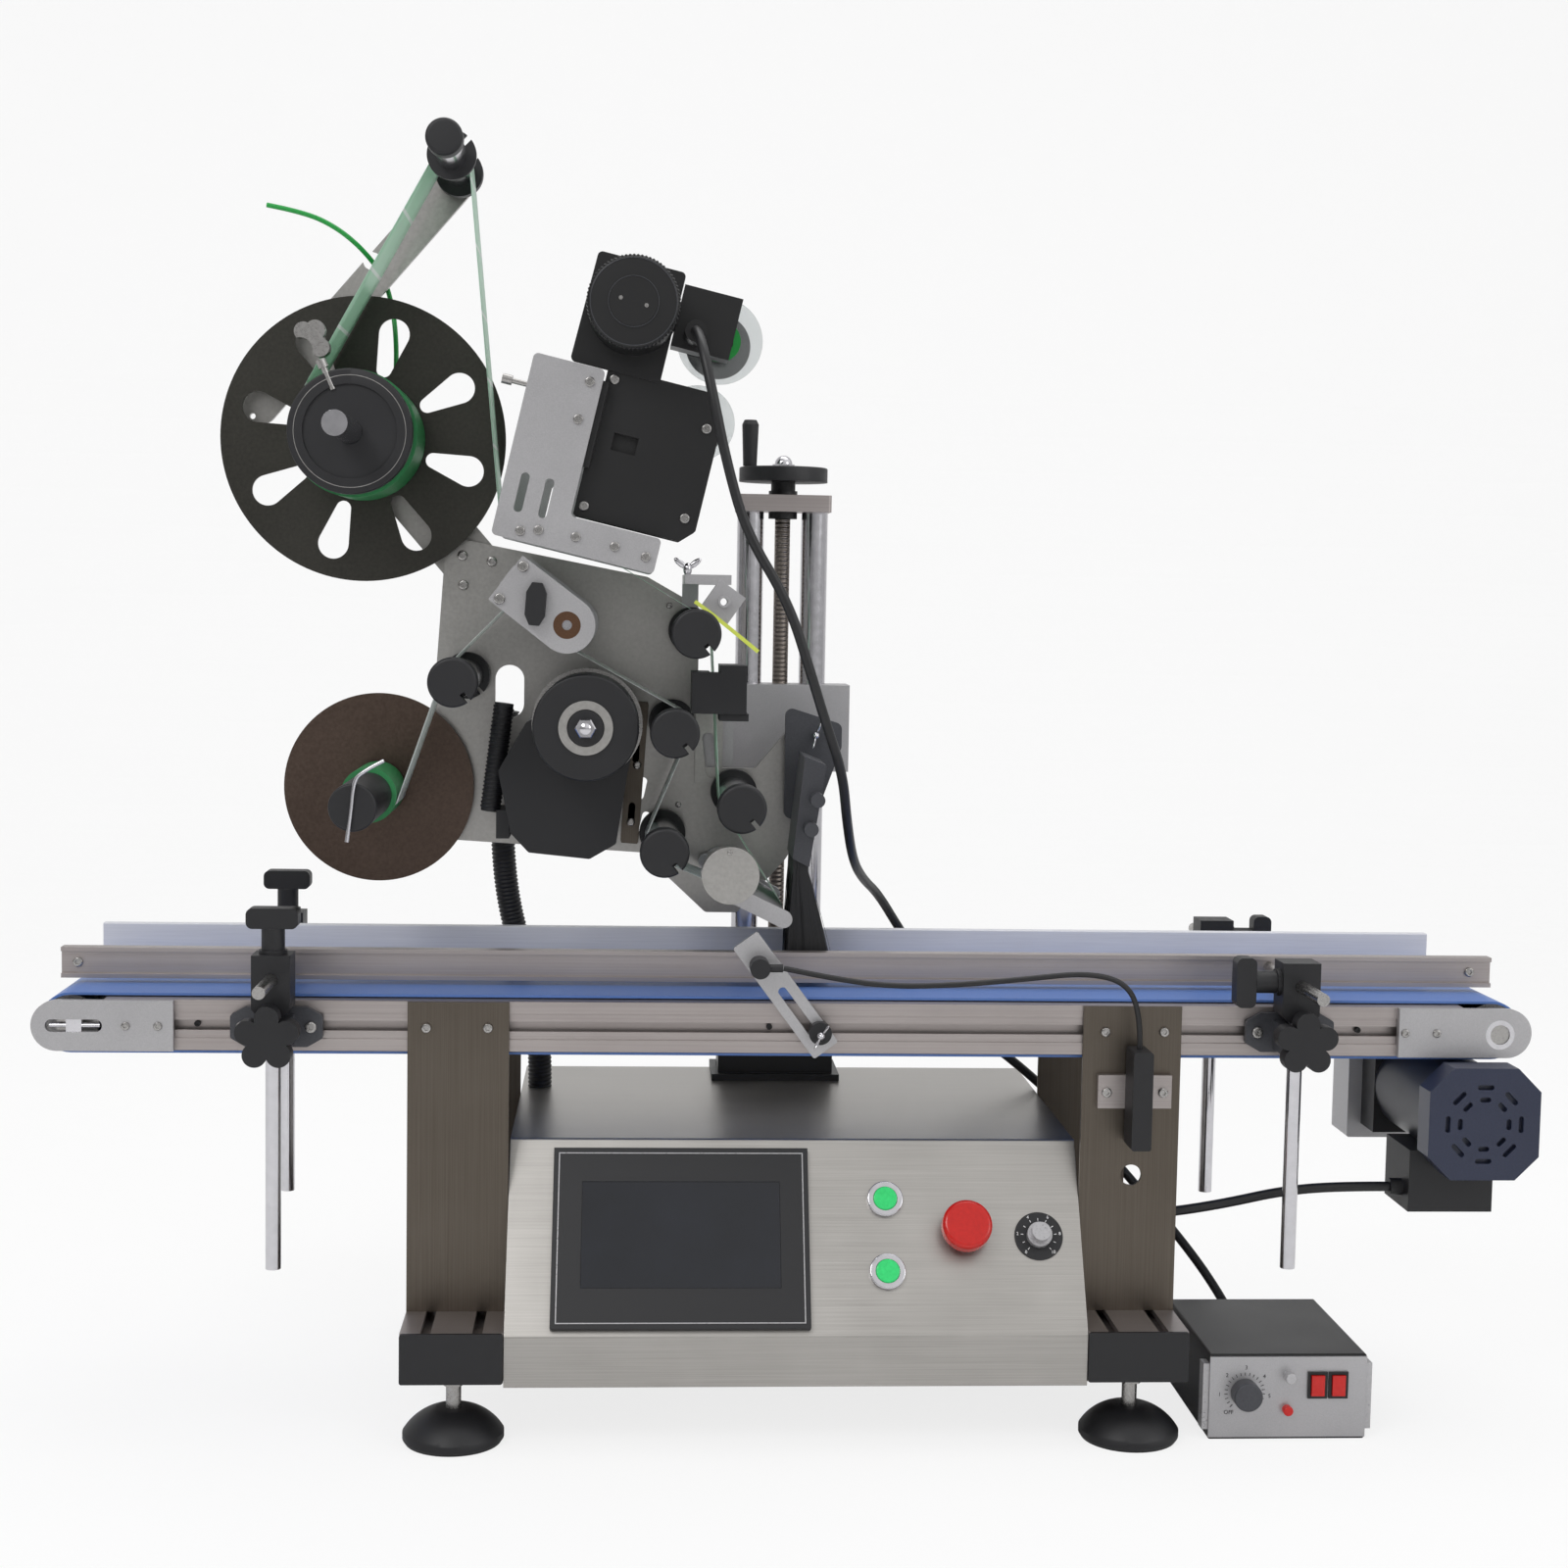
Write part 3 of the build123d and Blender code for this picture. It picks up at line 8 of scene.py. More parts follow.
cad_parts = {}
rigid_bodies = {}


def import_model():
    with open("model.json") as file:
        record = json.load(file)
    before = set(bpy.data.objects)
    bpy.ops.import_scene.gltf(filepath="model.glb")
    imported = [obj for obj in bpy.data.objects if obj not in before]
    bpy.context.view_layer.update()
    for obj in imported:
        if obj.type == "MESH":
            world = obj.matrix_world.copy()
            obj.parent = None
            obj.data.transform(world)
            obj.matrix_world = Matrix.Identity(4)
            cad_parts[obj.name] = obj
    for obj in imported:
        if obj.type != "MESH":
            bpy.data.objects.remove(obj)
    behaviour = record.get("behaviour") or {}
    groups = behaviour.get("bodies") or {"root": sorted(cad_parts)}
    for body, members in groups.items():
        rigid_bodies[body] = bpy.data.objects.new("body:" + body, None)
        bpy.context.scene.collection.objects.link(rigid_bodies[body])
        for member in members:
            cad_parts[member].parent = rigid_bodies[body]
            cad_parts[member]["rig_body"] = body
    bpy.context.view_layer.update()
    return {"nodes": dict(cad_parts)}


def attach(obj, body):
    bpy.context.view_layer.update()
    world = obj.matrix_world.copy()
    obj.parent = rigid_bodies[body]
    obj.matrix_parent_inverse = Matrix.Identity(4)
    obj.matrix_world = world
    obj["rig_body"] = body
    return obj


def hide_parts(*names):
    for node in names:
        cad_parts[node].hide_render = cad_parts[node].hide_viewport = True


# Looks of a tabletop flat labelling machine. Sizes in the dictionaries are millimetres.

mm = 0.001
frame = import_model()
nodes = frame["nodes"]
print("frame loaded:", len(nodes), "nodes")


# camera, lights, floor

camera = {"place": (-133.0, -1970.4, 671.7), "yaw": 0.0646, "pitch": 0.0808, "roll": 0.0176, "lens": 54.0}
studio = {"skyForObject": 0.62, "key": 34.0, "fill": 12.0, "top": 22.0, "floorGlow": 0.80}


def makeCamera():
    turn = Matrix.Rotation(camera["roll"], 3, "Y") @ Matrix.Rotation(camera["pitch"], 3, "X")
    turn = (turn @ Matrix.Rotation(camera["yaw"], 3, "Z")).transposed()  # world axes as seen by the camera
    right, ahead, up = turn.col[0], turn.col[1], turn.col[2]
    pose = Matrix((right, up, -ahead)).transposed().to_4x4()
    pose.translation = Vector(camera["place"]) * mm
    lens = bpy.data.cameras.new("camera")
    lens.lens = camera["lens"]
    lens.sensor_width = 36
    lens.sensor_fit = "HORIZONTAL"
    lens.clip_end = 50
    seen = bpy.data.objects.new("camera", lens)
    seen.matrix_world = pose
    bpy.context.scene.collection.objects.link(seen)
    bpy.context.scene.camera = seen


def addLamp(name, place, target, size, power):
    lamp = bpy.data.lights.new(name, "AREA")
    lamp.shape = "RECTANGLE"
    lamp.size, lamp.size_y = size
    lamp.energy = power
    made = bpy.data.objects.new(name, lamp)
    made.location = place
    made.rotation_euler = (Vector(target) - Vector(place)).to_track_quat("-Z", "Y").to_euler()
    bpy.context.scene.collection.objects.link(made)


def linear(code):
    # hex sRGB to linear values
    values = [int(code[k:k + 2], 16) / 255 for k in (1, 3, 5)]
    return (*[v / 12.92 if v <= 0.04045 else ((v + 0.055) / 1.055) ** 2.4 for v in values], 1.0)


def addNode(tree, kind, settings=None, **inputs):
    # adds one shader node, sets its properties, and sets or links its inputs by name or number
    made = tree.nodes.new("ShaderNode" + kind)
    for key, value in (settings or {}).items():
        setattr(made, key, value)
    for key, value in inputs.items():
        socket = made.inputs[int(key[1:])] if key[1:].isdigit() else made.inputs[key.replace("_", " ")]
        if isinstance(value, bpy.types.NodeSocket):
            tree.links.new(value, socket)
        else:
            socket.default_value = value
    return made


def makeStudio():
    world = bpy.data.worlds.new("studio")
    bpy.context.scene.world = world
    world.use_nodes = True
    tree = world.node_tree
    tree.nodes.clear()
    path = addNode(tree, "LightPath")
    seen = addNode(tree, "Math", {"operation": "MAXIMUM"}, i0=path.outputs["Is Camera Ray"],
                   i1=path.outputs["Is Transmission Ray"])
    around = addNode(tree, "TexCoord")
    split = addNode(tree, "SeparateXYZ", i0=around.outputs["Generated"])
    sweep = addNode(tree, "MapRange", Value=split.outputs["X"], From_Min=-0.45, From_Max=0.45, To_Min=0.5,
                    To_Max=1.0)
    rise = addNode(tree, "MapRange", Value=split.outputs["Z"], From_Min=-0.25, From_Max=0.5, To_Min=0.22,
                   To_Max=1.05)
    room = addNode(tree, "Math", {"operation": "MULTIPLY"}, i0=sweep.outputs[0], i1=rise.outputs[0])
    shine = addNode(tree, "Math", {"operation": "MULTIPLY"}, i0=room.outputs[0],
                    i1=path.outputs["Is Glossy Ray"])
    dim = addNode(tree, "MapRange", Value=path.outputs["Is Glossy Ray"], To_Min=studio["skyForObject"],
                  To_Max=0.0)
    forObject = addNode(tree, "Math", {"operation": "ADD"}, i0=shine.outputs[0], i1=dim.outputs[0])
    level = addNode(tree, "Math", {"operation": "MAXIMUM"}, i0=forObject.outputs[0], i1=seen.outputs[0])
    sky = addNode(tree, "Background", Color=(1, 1, 1, 1), Strength=level.outputs[0])
    addNode(tree, "OutputWorld", Surface=sky.outputs[0])
    addLamp("keyLamp", (-1.6, -2.2, 2.6), (0, 0, 0.4), (1.6, 1.2), studio["key"])
    addLamp("fillLamp", (2.4, -1.8, 1.6), (0.1, 0, 0.4), (1.4, 1.4), studio["fill"])
    addLamp("topLamp", (0.2, 0.4, 3.0), (0, 0, 0.3), (2.4, 1.6), studio["top"])
    bpy.context.scene.view_settings.view_transform = "Standard"


paper = {"radius": 1.2, "back": 2.2, "wide": 9.0, "high": 7.0, "steps": 24}  # metres


def makeFloor():
    # a flat sheet that turns up behind the object along a quarter circle
    turn = np.linspace(0, math.pi / 2, paper["steps"])
    radius, back, wide = paper["radius"], paper["back"], paper["wide"]
    profile = np.vstack([[(-wide, 0.0)], np.c_[back + radius * np.sin(turn), radius - radius * np.cos(turn)],
                         [(back + radius, paper["high"])]])
    mesh = bpy.data.meshes.new("floor")
    count = len(profile)
    verts = [(x, y, z) for x in (-wide, wide) for y, z in profile]
    mesh.from_pydata(verts, [], [(k, k + count, k + count + 1, k + 1) for k in range(count - 1)])
    floor = bpy.data.objects.new("floor", mesh)
    bpy.context.scene.collection.objects.link(floor)
    paint = bpy.data.materials.new("matt white paper")  # seamless studio paper, keeps a faint contact shadow
    paint.use_nodes = True
    tree = paint.node_tree
    tree.nodes.clear()
    path = addNode(tree, "LightPath")
    fibre = addNode(tree, "TexNoise", Scale=140.0, Detail=3.0)
    tone = addNode(tree, "MapRange", Value=fibre.outputs[0], To_Min=0.90, To_Max=0.94)
    matt = addNode(tree, "BsdfDiffuse", Color=tone.outputs[0])
    glow = addNode(tree, "Emission", Color=(1, 1, 1, 1), Strength=1.0)
    share = addNode(tree, "Math", {"operation": "MULTIPLY"}, i0=path.outputs["Is Camera Ray"],
                    i1=studio["floorGlow"])
    mixed = addNode(tree, "MixShader", i0=share.outputs[0], i1=matt.outputs[0], i2=glow.outputs[0])
    addNode(tree, "OutputMaterial", Surface=mixed.outputs[0])
    mesh.materials.append(paint)
    mesh.update()


makeCamera()
makeStudio()
makeFloor()
print("camera, lamps and floor ready")


# materials

finishes = {
    # cabinet sheet: stainless brushed along X, its fine lines stretch highlights upwards
    "brushed stainless sheet": {"tones": ("#a09d99", "#b9b6b2"), "metal": 1.0, "rough": (0.30, 0.42),
                                "grain": (120, 0.6, 0.6), "bump": 0.02, "bevel": 0.8},
    # leg plates: darker stainless brushed upright
    "dark brushed stainless": {"tones": ("#5b544c", "#6b645c"), "metal": 1.0, "rough": (0.34, 0.46),
                               "grain": (0.7, 0.7, 110), "bump": 0.02, "bevel": 0.4},
    # slotted profiles: satin anodised aluminium with faint drawing lines along X
    "anodised aluminium": {"tones": ("#a29a98", "#b4adab"), "metal": 0.9, "rough": (0.36, 0.46),
                           "grain": (200, 1.2, 1.2), "bump": 0.01, "bevel": 0.3},
    # machined brackets: milled and bead blasted aluminium, bright with tiny grain
    "blasted aluminium": {"tones": ("#a9a8aa", "#bdbcbe"), "metal": 0.85, "rough": (0.38, 0.5),
                          "grain": (0.9, 0.9, 0.9), "bump": 0.03, "bevel": 0.4},
    # head plate: grey satin plate, reflects the parts in front of it softly
    "satin grey plate": {"tones": ("#a19f9c", "#b3b1ae"), "metal": 0.85, "rough": (0.28, 0.38),
                         "grain": (3, 3, 3), "bump": 0.01, "bevel": 0.4},
    # shafts, posts and bolts: ground and polished, with tight highlights
    "polished steel": {"tones": ("#c3c2c6", "#d2d1d5"), "metal": 1.0, "rough": (0.10, 0.18),
                       "grain": (8, 8, 8), "bump": 0.004, "bevel": 0.2},
    # screws, nuts and rollers: zinc plated, a little uneven
    "zinc plated steel": {"tones": ("#9c9a98", "#b5b3b1"), "metal": 1.0, "rough": (0.22, 0.34),
                          "grain": (2, 2, 2), "bump": 0.01, "bevel": 0.2},
    # black parts: moulded nylon with a fine spark-eroded texture
    "black moulded nylon": {"tones": ("#101013", "#17171b"), "metal": 0.0, "rough": (0.42, 0.56),
                            "grain": (0.6, 0.6, 0.6), "bump": 0.02, "bevel": 0.5},
    # printer frame and housings: powder coat, smoother than the nylon
    "black powder coat": {"tones": ("#0a0a0b", "#111113"), "metal": 0.0, "rough": (0.34, 0.46),
                          "grain": (1.0, 1.0, 1.0), "bump": 0.02, "bevel": 0.4},
    # pinch roller: matt rubber
    "black rubber": {"tones": ("#0c0c0e", "#131315"), "metal": 0.0, "rough": (0.55, 0.7),
                     "grain": (0.8, 0.8, 0.8), "bump": 0.02, "bevel": 0.4},
    # conveyor belt: blue PVC with a fine fabric imprint
    "blue pvc belt": {"tones": ("#4f72b4", "#5c80c4"), "metal": 0.0, "rough": (0.34, 0.44),
                      "grain": (1.1, 1.1, 1.1), "bump": 0.03, "bevel": 0.3},
    # motor: navy enamel with a soft grain
    "navy enamel": {"tones": ("#1d2338", "#262d45"), "metal": 0.0, "rough": (0.28, 0.38),
                    "grain": (1.6, 1.6, 1.6), "bump": 0.03, "bevel": 0.5},
    # castings and the heater knob: dark grey enamel
    "dark grey enamel": {"tones": ("#3c3d42", "#48494e"), "metal": 0.2, "rough": (0.35, 0.45),
                         "grain": (1.6, 1.6, 1.6), "bump": 0.02, "bevel": 0.5},
    # unwind disc: dark grey anodised plate, slightly olive
    "dark anodised plate": {"tones": ("#33322e", "#403e39"), "metal": 0.6, "rough": (0.30, 0.42),
                            "grain": (3, 3, 3), "bump": 0.01, "bevel": 0.3},
    # take-up disc: browned steel
    "brown brushed steel": {"tones": ("#4c4039", "#5e5048"), "metal": 0.9, "rough": (0.30, 0.42),
                            "grain": (2.4, 2.4, 2.4), "bump": 0.01, "bevel": 0.3},
    # button lenses, lit from inside
    "green polycarbonate": {"tones": ("#1fae5a", "#2cc06a"), "metal": 0.0, "rough": (0.12, 0.2),
                            "grain": (3, 3, 3), "bump": 0.0, "bevel": 0.5, "glow": 0.35},
    # emergency stop, rockers and fuse: glossy red plastic
    "red polycarbonate": {"tones": ("#b5120c", "#c91a12"), "metal": 0.0, "rough": (0.16, 0.24),
                          "grain": (3, 3, 3), "bump": 0.0, "bevel": 0.5},
    # small knobs: silver lacquer on plastic
    "silver cap plastic": {"tones": ("#a8a7a9", "#bcbbbd"), "metal": 0.5, "rough": (0.25, 0.35),
                           "grain": (2, 2, 2), "bump": 0.0, "bevel": 0.4},
    # flanges of the ribbon spools
    "clear acrylic": {"tones": ("#e8ecec", "#eef2f2"), "metal": 0.0, "rough": (0.03, 0.06),
                      "grain": (5, 5, 5), "bump": 0.0, "bevel": 0.2, "clear": 0.92},
    # lift screw: a 4 mm thread, drawn by a wave along Z
    "threaded steel": {"tones": ("#6f6862", "#8b847d"), "metal": 1.0, "rough": (0.28, 0.4),
                       "grain": (2, 2, 2), "bump": 0.01, "bevel": 0.0, "thread": 4.0},
    # touch panel: glass over a dark display
    "screen glass": {"tones": ("#15171d", "#1b1e26"), "metal": 0.0, "rough": (0.04, 0.08),
                     "grain": (40, 40, 40), "bump": 0.0, "bevel": 0.1},
    # rear guide: polyethylene planed along X
    "white hdpe": {"tones": ("#c9cad2", "#d6d7de"), "metal": 0.0, "rough": (0.3, 0.42),
                   "grain": (60, 1.5, 1.5), "bump": 0.01, "bevel": 0.5},
    # wound labels, seen on their printed side
    "printed paper roll": {"tones": ("#1d6638", "#2f8a50"), "metal": 0.0, "rough": (0.5, 0.6),
                           "grain": (90, 0.5, 90), "bump": 0.02, "bevel": 0.1},
    # brake cord: smooth urethane
    "green urethane cord": {"tones": ("#0f8a34", "#17a343"), "metal": 0.0, "rough": (0.3, 0.4),
                            "grain": (1.5, 1.5, 1.5), "bump": 0.01, "bevel": 0.1},
    # cables: satin PVC
    "black pvc sheath": {"tones": ("#0f0f11", "#17171a"), "metal": 0.0, "rough": (0.38, 0.5),
                         "grain": (1.2, 1.2, 1.2), "bump": 0.01, "bevel": 0.1},
    # cable tie
    "yellow green strap": {"tones": ("#c3cf4a", "#d3de63"), "metal": 0.0, "rough": (0.4, 0.5),
                           "grain": (1.5, 1.5, 1.5), "bump": 0.01, "bevel": 0.1},
    # sintered bronze bush
    "bronze bearing": {"tones": ("#5a4334", "#6d5240"), "metal": 0.9, "rough": (0.35, 0.45),
                       "grain": (1.0, 1.0, 1.0), "bump": 0.02, "bevel": 0.2},
    # brush: nylon bristles, matt
    "black bristles": {"tones": ("#0d0d0f", "#1c1c1f"), "metal": 0.0, "rough": (0.5, 0.65),
                       "grain": (0.5, 0.5, 30), "bump": 0.0, "bevel": 0.0},
    # scale of the speed dial
    "white ink": {"tones": ("#e9e9ea", "#f2f2f3"), "metal": 0.0, "rough": (0.45, 0.5),
                  "grain": (2, 2, 2), "bump": 0.0, "bevel": 0.0},
}


def makeFinish(name):
    spec = finishes[name]
    made = bpy.data.materials.new(name)
    made.use_nodes = True
    tree = made.node_tree
    tree.nodes.clear()
    place = addNode(tree, "TexCoord")
    stretch = addNode(tree, "Mapping", Vector=place.outputs["Object"],
                      Scale=[1000 / g for g in spec["grain"]])
    grain = addNode(tree, "TexNoise", Vector=stretch.outputs[0], Scale=1.0, Detail=4.0, Roughness=0.6)
    cloud = addNode(tree, "TexNoise", Vector=place.outputs["Object"], Scale=14.0, Detail=2.0)
    both = addNode(tree, "Math", {"operation": "MULTIPLY_ADD"}, i0=cloud.outputs[0], i1=0.5,
                   i2=grain.outputs[0])
    share = addNode(tree, "MapRange", Value=both.outputs[0], From_Min=0.45, From_Max=1.05)
    colour = addNode(tree, "Mix", {"data_type": "RGBA"}, i0=share.outputs[0], i6=linear(spec["tones"][0]),
                     i7=linear(spec["tones"][1]))
    rough = addNode(tree, "MapRange", Value=both.outputs[0], From_Min=0.45, From_Max=1.05,
                    To_Min=spec["rough"][0],
                    To_Max=spec["rough"][1])
    shader = addNode(tree, "BsdfPrincipled", Base_Color=colour.outputs[2], Roughness=rough.outputs[0],
                     Metallic=spec["metal"])
    if spec.get("thread"):
        wave = addNode(tree, "TexWave", {"bands_direction": "Z"}, Vector=place.outputs["Object"],
                       Scale=math.pi / (10 * spec["thread"] * mm))
        turned = addNode(tree, "Bump", Height=wave.outputs["Fac"], Strength=1.0, Distance=0.9 * mm)
        tree.links.new(turned.outputs[0], shader.inputs["Normal"])
    if spec["bevel"]:
        edge = addNode(tree, "Bevel", {"samples": 4}, Radius=spec["bevel"] * mm)
        normal = edge.outputs[0]
        if spec["bump"]:
            bump = addNode(tree, "Bump", Height=grain.outputs[0], Strength=0.6,
                           Distance=spec["bump"] * mm * 4,
                           Normal=normal)
            normal = bump.outputs[0]
        tree.links.new(normal, shader.inputs["Normal"])
    if spec.get("clear"):
        shader.inputs["Transmission Weight"].default_value = spec["clear"]
    if spec.get("glow"):
        tree.links.new(colour.outputs[2], shader.inputs["Emission Color"])
        shader.inputs["Emission Strength"].default_value = spec["glow"]
    addNode(tree, "OutputMaterial", Surface=shader.outputs[0])
    return made


materials = {name: makeFinish(name) for name in finishes}
print("materials ready:", len(materials))


# CAD nodes

plainNodes = {
    "cabinet_shell": "brushed stainless sheet", "cabinet_base": "zinc plated steel",
    "leg_plates": "dark brushed stainless",
    "tail_roller": "zinc plated steel", "drive_roller": "zinc plated steel",
    "emergency_stop": "red polycarbonate",
    "start_button": "green polycarbonate", "stop_button": "green polycarbonate",
    "crank_grip": "black moulded nylon",
    "pinch_roller": "black rubber", "pinch_knob": "black moulded nylon", "rocker_left": "red polycarbonate",
    "rocker_right": "red polycarbonate", "heater_knob": "dark grey enamel", "conveyor_belt": "blue pvc belt",
}

# for mixed nodes: rules in order, each tests an island's centre c and size s in millimetres
mixedNodes = {
    "foot_beams": [("anodised aluminium", lambda c, s: s[1] > 50), ("black moulded nylon", None)],
    "levelling_feet": [("zinc plated steel", lambda c, s: s[0] < 40), ("black moulded nylon", None)],
    "conveyor_frame": [("anodised aluminium", None)],
    "end_plates": [("polished steel", lambda c, s: s[0] < 30), ("blasted aluminium", None)],
    "gear_motor": [("navy enamel", lambda c, s: c[1] < -110 and s[0] > 80),
                   ("dark grey enamel", lambda c, s: s[1] > 100),
                   ("blasted aluminium", lambda c, s: s[0] > 95 or s[2] < 8),
                   ("black moulded nylon", None)],
    "touch_panel": [("screen glass", lambda c, s: s[0] < 165), ("black moulded nylon", None)],
    "control_bezels": [("black moulded nylon", lambda c, s: c[0] > 180), ("polished steel", None)],
    "speed_knob": [("silver cap plastic", None)],
    "column_frame": [("polished steel", lambda c, s: s[2] > 300),
                     ("anodised aluminium", lambda c, s: c[2] > 740 and s[0] > 60),
                     ("black powder coat", None)],
    "carriage_block": [("blasted aluminium", None)],
    "head_plate": [("polished steel", lambda c, s: s[1] > 100), ("satin grey plate", None)],
    "reel_bar": [("polished steel", lambda c, s: s[1] > 100 and s[0] < 30),
                 ("satin grey plate", lambda c, s: s[0] > 100),
                 ("black moulded nylon", None)],
    "take_up_reel": [("brown brushed steel", lambda c, s: s[0] > 100),
                     ("printed paper roll", lambda c, s: s[1] < 80),
                     ("black moulded nylon", None)],
    "unwind_reel": [("dark anodised plate", lambda c, s: s[0] > 200),
                    ("zinc plated steel", lambda c, s: s[1] < 30),
                    ("printed paper roll", lambda c, s: s[0] > 102), ("black moulded nylon", None)],
    "feed_wheel": [("zinc plated steel", lambda c, s: s[0] > 90), ("satin grey plate", lambda c, s: s[1] < 3),
                   ("black moulded nylon", None)],
    "feed_gearcase": [("zinc plated steel", lambda c, s: s[0] < 9), ("black moulded nylon", None)],
    "pinch_bracket": [("bronze bearing", lambda c, s: 15 < s[0] < 24 and s[1] < 8 and abs(c[0] + 186) < 5),
                      ("zinc plated steel", lambda c, s: s[0] < 12), ("blasted aluminium", None)],
    "printer_bracket": [("zinc plated steel", lambda c, s: s[0] < 14), ("blasted aluminium", None)],
    "printer_body": [("zinc plated steel", lambda c, s: s[0] < 10 and s[1] < 5), ("black powder coat", None)],
    "peel_assembly": [("satin grey plate", lambda c, s: 40 < s[0] < 48 and s[1] < 25),
                      ("blasted aluminium", None)],
    "label_sensor": [("blasted aluminium", lambda c, s: c[2] > 640), ("black moulded nylon", None)],
    "brush_arm": [("black bristles", lambda c, s: c[2] < 430), ("dark grey enamel", None)],
    "product_sensor": [("blasted aluminium", lambda c, s: s[0] > 60), ("black moulded nylon", None)],
    "rail_brackets": [("zinc plated steel", lambda c, s: s[0] < 12),
                      ("dark grey enamel", lambda c, s: s[0] > 60),
                      ("black moulded nylon", None)],
    "front_posts": [("polished steel", lambda c, s: s[2] > 150), ("black moulded nylon", None)],
    "rear_posts": [("polished steel", lambda c, s: s[2] > 150), ("black moulded nylon", None)],
    "front_guide": [("zinc plated steel", lambda c, s: s[0] < 12), ("anodised aluminium", None)],
    "rear_guide": [("white hdpe", lambda c, s: s[0] > 200), ("zinc plated steel", None)],
    "sensor_amplifier": [("zinc plated steel", lambda c, s: s[0] < 10 and s[2] < 10),
                         ("black moulded nylon", lambda c, s: s[2] > 60),
                         ("anodised aluminium", None)],
    "heater_box": [("blasted aluminium", lambda c, s: s[0] > 100 and s[1] < 4),
                   ("silver cap plastic", lambda c, s: s[0] < 10 and s[1] > 7.5),
                   ("red polycarbonate", lambda c, s: s[0] < 9 and s[1] < 7.5), ("black powder coat", None)],
}


edges = {"merge": 2e-6, "nodeSharp": 32, "smallSharp": 35}  # metres, degrees


def camel(name):
    first, *rest = name.split("_")
    return first + "".join(word.capitalize() for word in rest)


def linked(name, mesh):
    made = bpy.data.objects.new(name, mesh)
    bpy.context.scene.collection.objects.link(made)
    return made


def islandsOf(mesh):
    # faces grouped by shared edges, as a list of face lists
    left = set(mesh.faces)
    groups = []
    while left:
        seed = left.pop()
        group, edge = [seed], [seed]
        while edge:
            face = edge.pop()
            for side in face.edges:
                if len(side.link_faces) != 2:
                    continue
                for other in side.link_faces:
                    if other in left:
                        left.discard(other)
                        group.append(other)
                        edge.append(other)
        groups.append(group)
    return groups


def openCopy(name):
    # a copy of a node's mesh, its touching points merged
    mesh = nodes[name].data.copy()
    mesh.materials.clear()
    shape = bmesh.new()
    shape.from_mesh(mesh)
    bmesh.ops.remove_doubles(shape, verts=shape.verts, dist=edges["merge"])
    return mesh, shape


def closeCopy(name, mesh, shape, used):
    # the dressed copy takes the node's place on its body
    shape.to_mesh(mesh)
    shape.free()
    if "custom_normal" in mesh.attributes:
        mesh.attributes.remove(mesh.attributes["custom_normal"])
    mesh.set_sharp_from_angle(angle=math.radians(edges["nodeSharp"]))
    for finish in used:
        mesh.materials.append(materials[finish])
    piece = linked(camel(name) + "Look", mesh)
    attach(piece, nodes[name]["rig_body"])
    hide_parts(name)


def dress(name, rules):
    # a merged copy of a node with a finish for each of its solids
    mesh, shape = openCopy(name)
    used = []
    for group in islandsOf(shape):
        spots = np.array([v.co for face in group for v in face.verts]) / mm
        low, high = spots.min(0), spots.max(0)
        centre, size = (low + high) / 2, high - low
        for finish, test in rules:
            if test is None or test(centre, size):
                break
        if finish not in used:
            used.append(finish)
        for face in group:
            face.material_index = used.index(finish)
            face.smooth = True
    closeCopy(name, mesh, shape, used)


faceRules = {
    "handwheel": [("threaded steel", lambda c, n, r: c[2] < 760),
                  ("polished steel", lambda c, n, r: r < 12 and c[2] > 779.5),
                  ("black moulded nylon", None)],
    "ribbon_spool_upper": [("clear acrylic", lambda c, n, r: c[1] < -23), ("black moulded nylon", None)],
    "ribbon_spool_lower": [("clear acrylic", lambda c, n, r: c[1] < -8.5), ("black moulded nylon", None)],
    "idler_top": [("polished steel", lambda c, n, r: r < 13 and abs(n[1]) < 0.5),
                  ("black moulded nylon", None)],
}
for name in nodes:
    if name.startswith("idler_") and name != "idler_top":
        faceRules[name] = [("polished steel", lambda c, n, r: r < 14.6 and abs(n[1]) < 0.5 and c[1] > -86),
                           ("black moulded nylon", None)]


def dressFaces(name, rules):
    # as dress, but a rule tests one face: its centre, normal and reach from the node's own axis
    mesh, shape = openCopy(name)
    spots = np.array([v.co for v in shape.verts]) / mm
    middle = (spots.min(0) + spots.max(0)) / 2
    ends = (0, 1) if name == "handwheel" else (0, 2)
    for face in shape.faces:
        reach = max(math.dist([v.co[k] / mm for k in ends], [middle[k] for k in ends]) for v in face.verts)
        spot = face.calc_center_median() / mm
        for number, (finish, test) in enumerate(rules):
            if test is None or test(spot, face.normal, reach):
                break
        face.material_index = number
        face.smooth = True
    closeCopy(name, mesh, shape, [finish for finish, _ in rules])


for name, finish in plainNodes.items():
    nodes[name].data.materials.clear()
    nodes[name].data.materials.append(materials[finish])
for name, rules in mixedNodes.items():
    dress(name, rules)
for name, rules in faceRules.items():
    dressFaces(name, rules)
print("CAD nodes dressed")


# cords

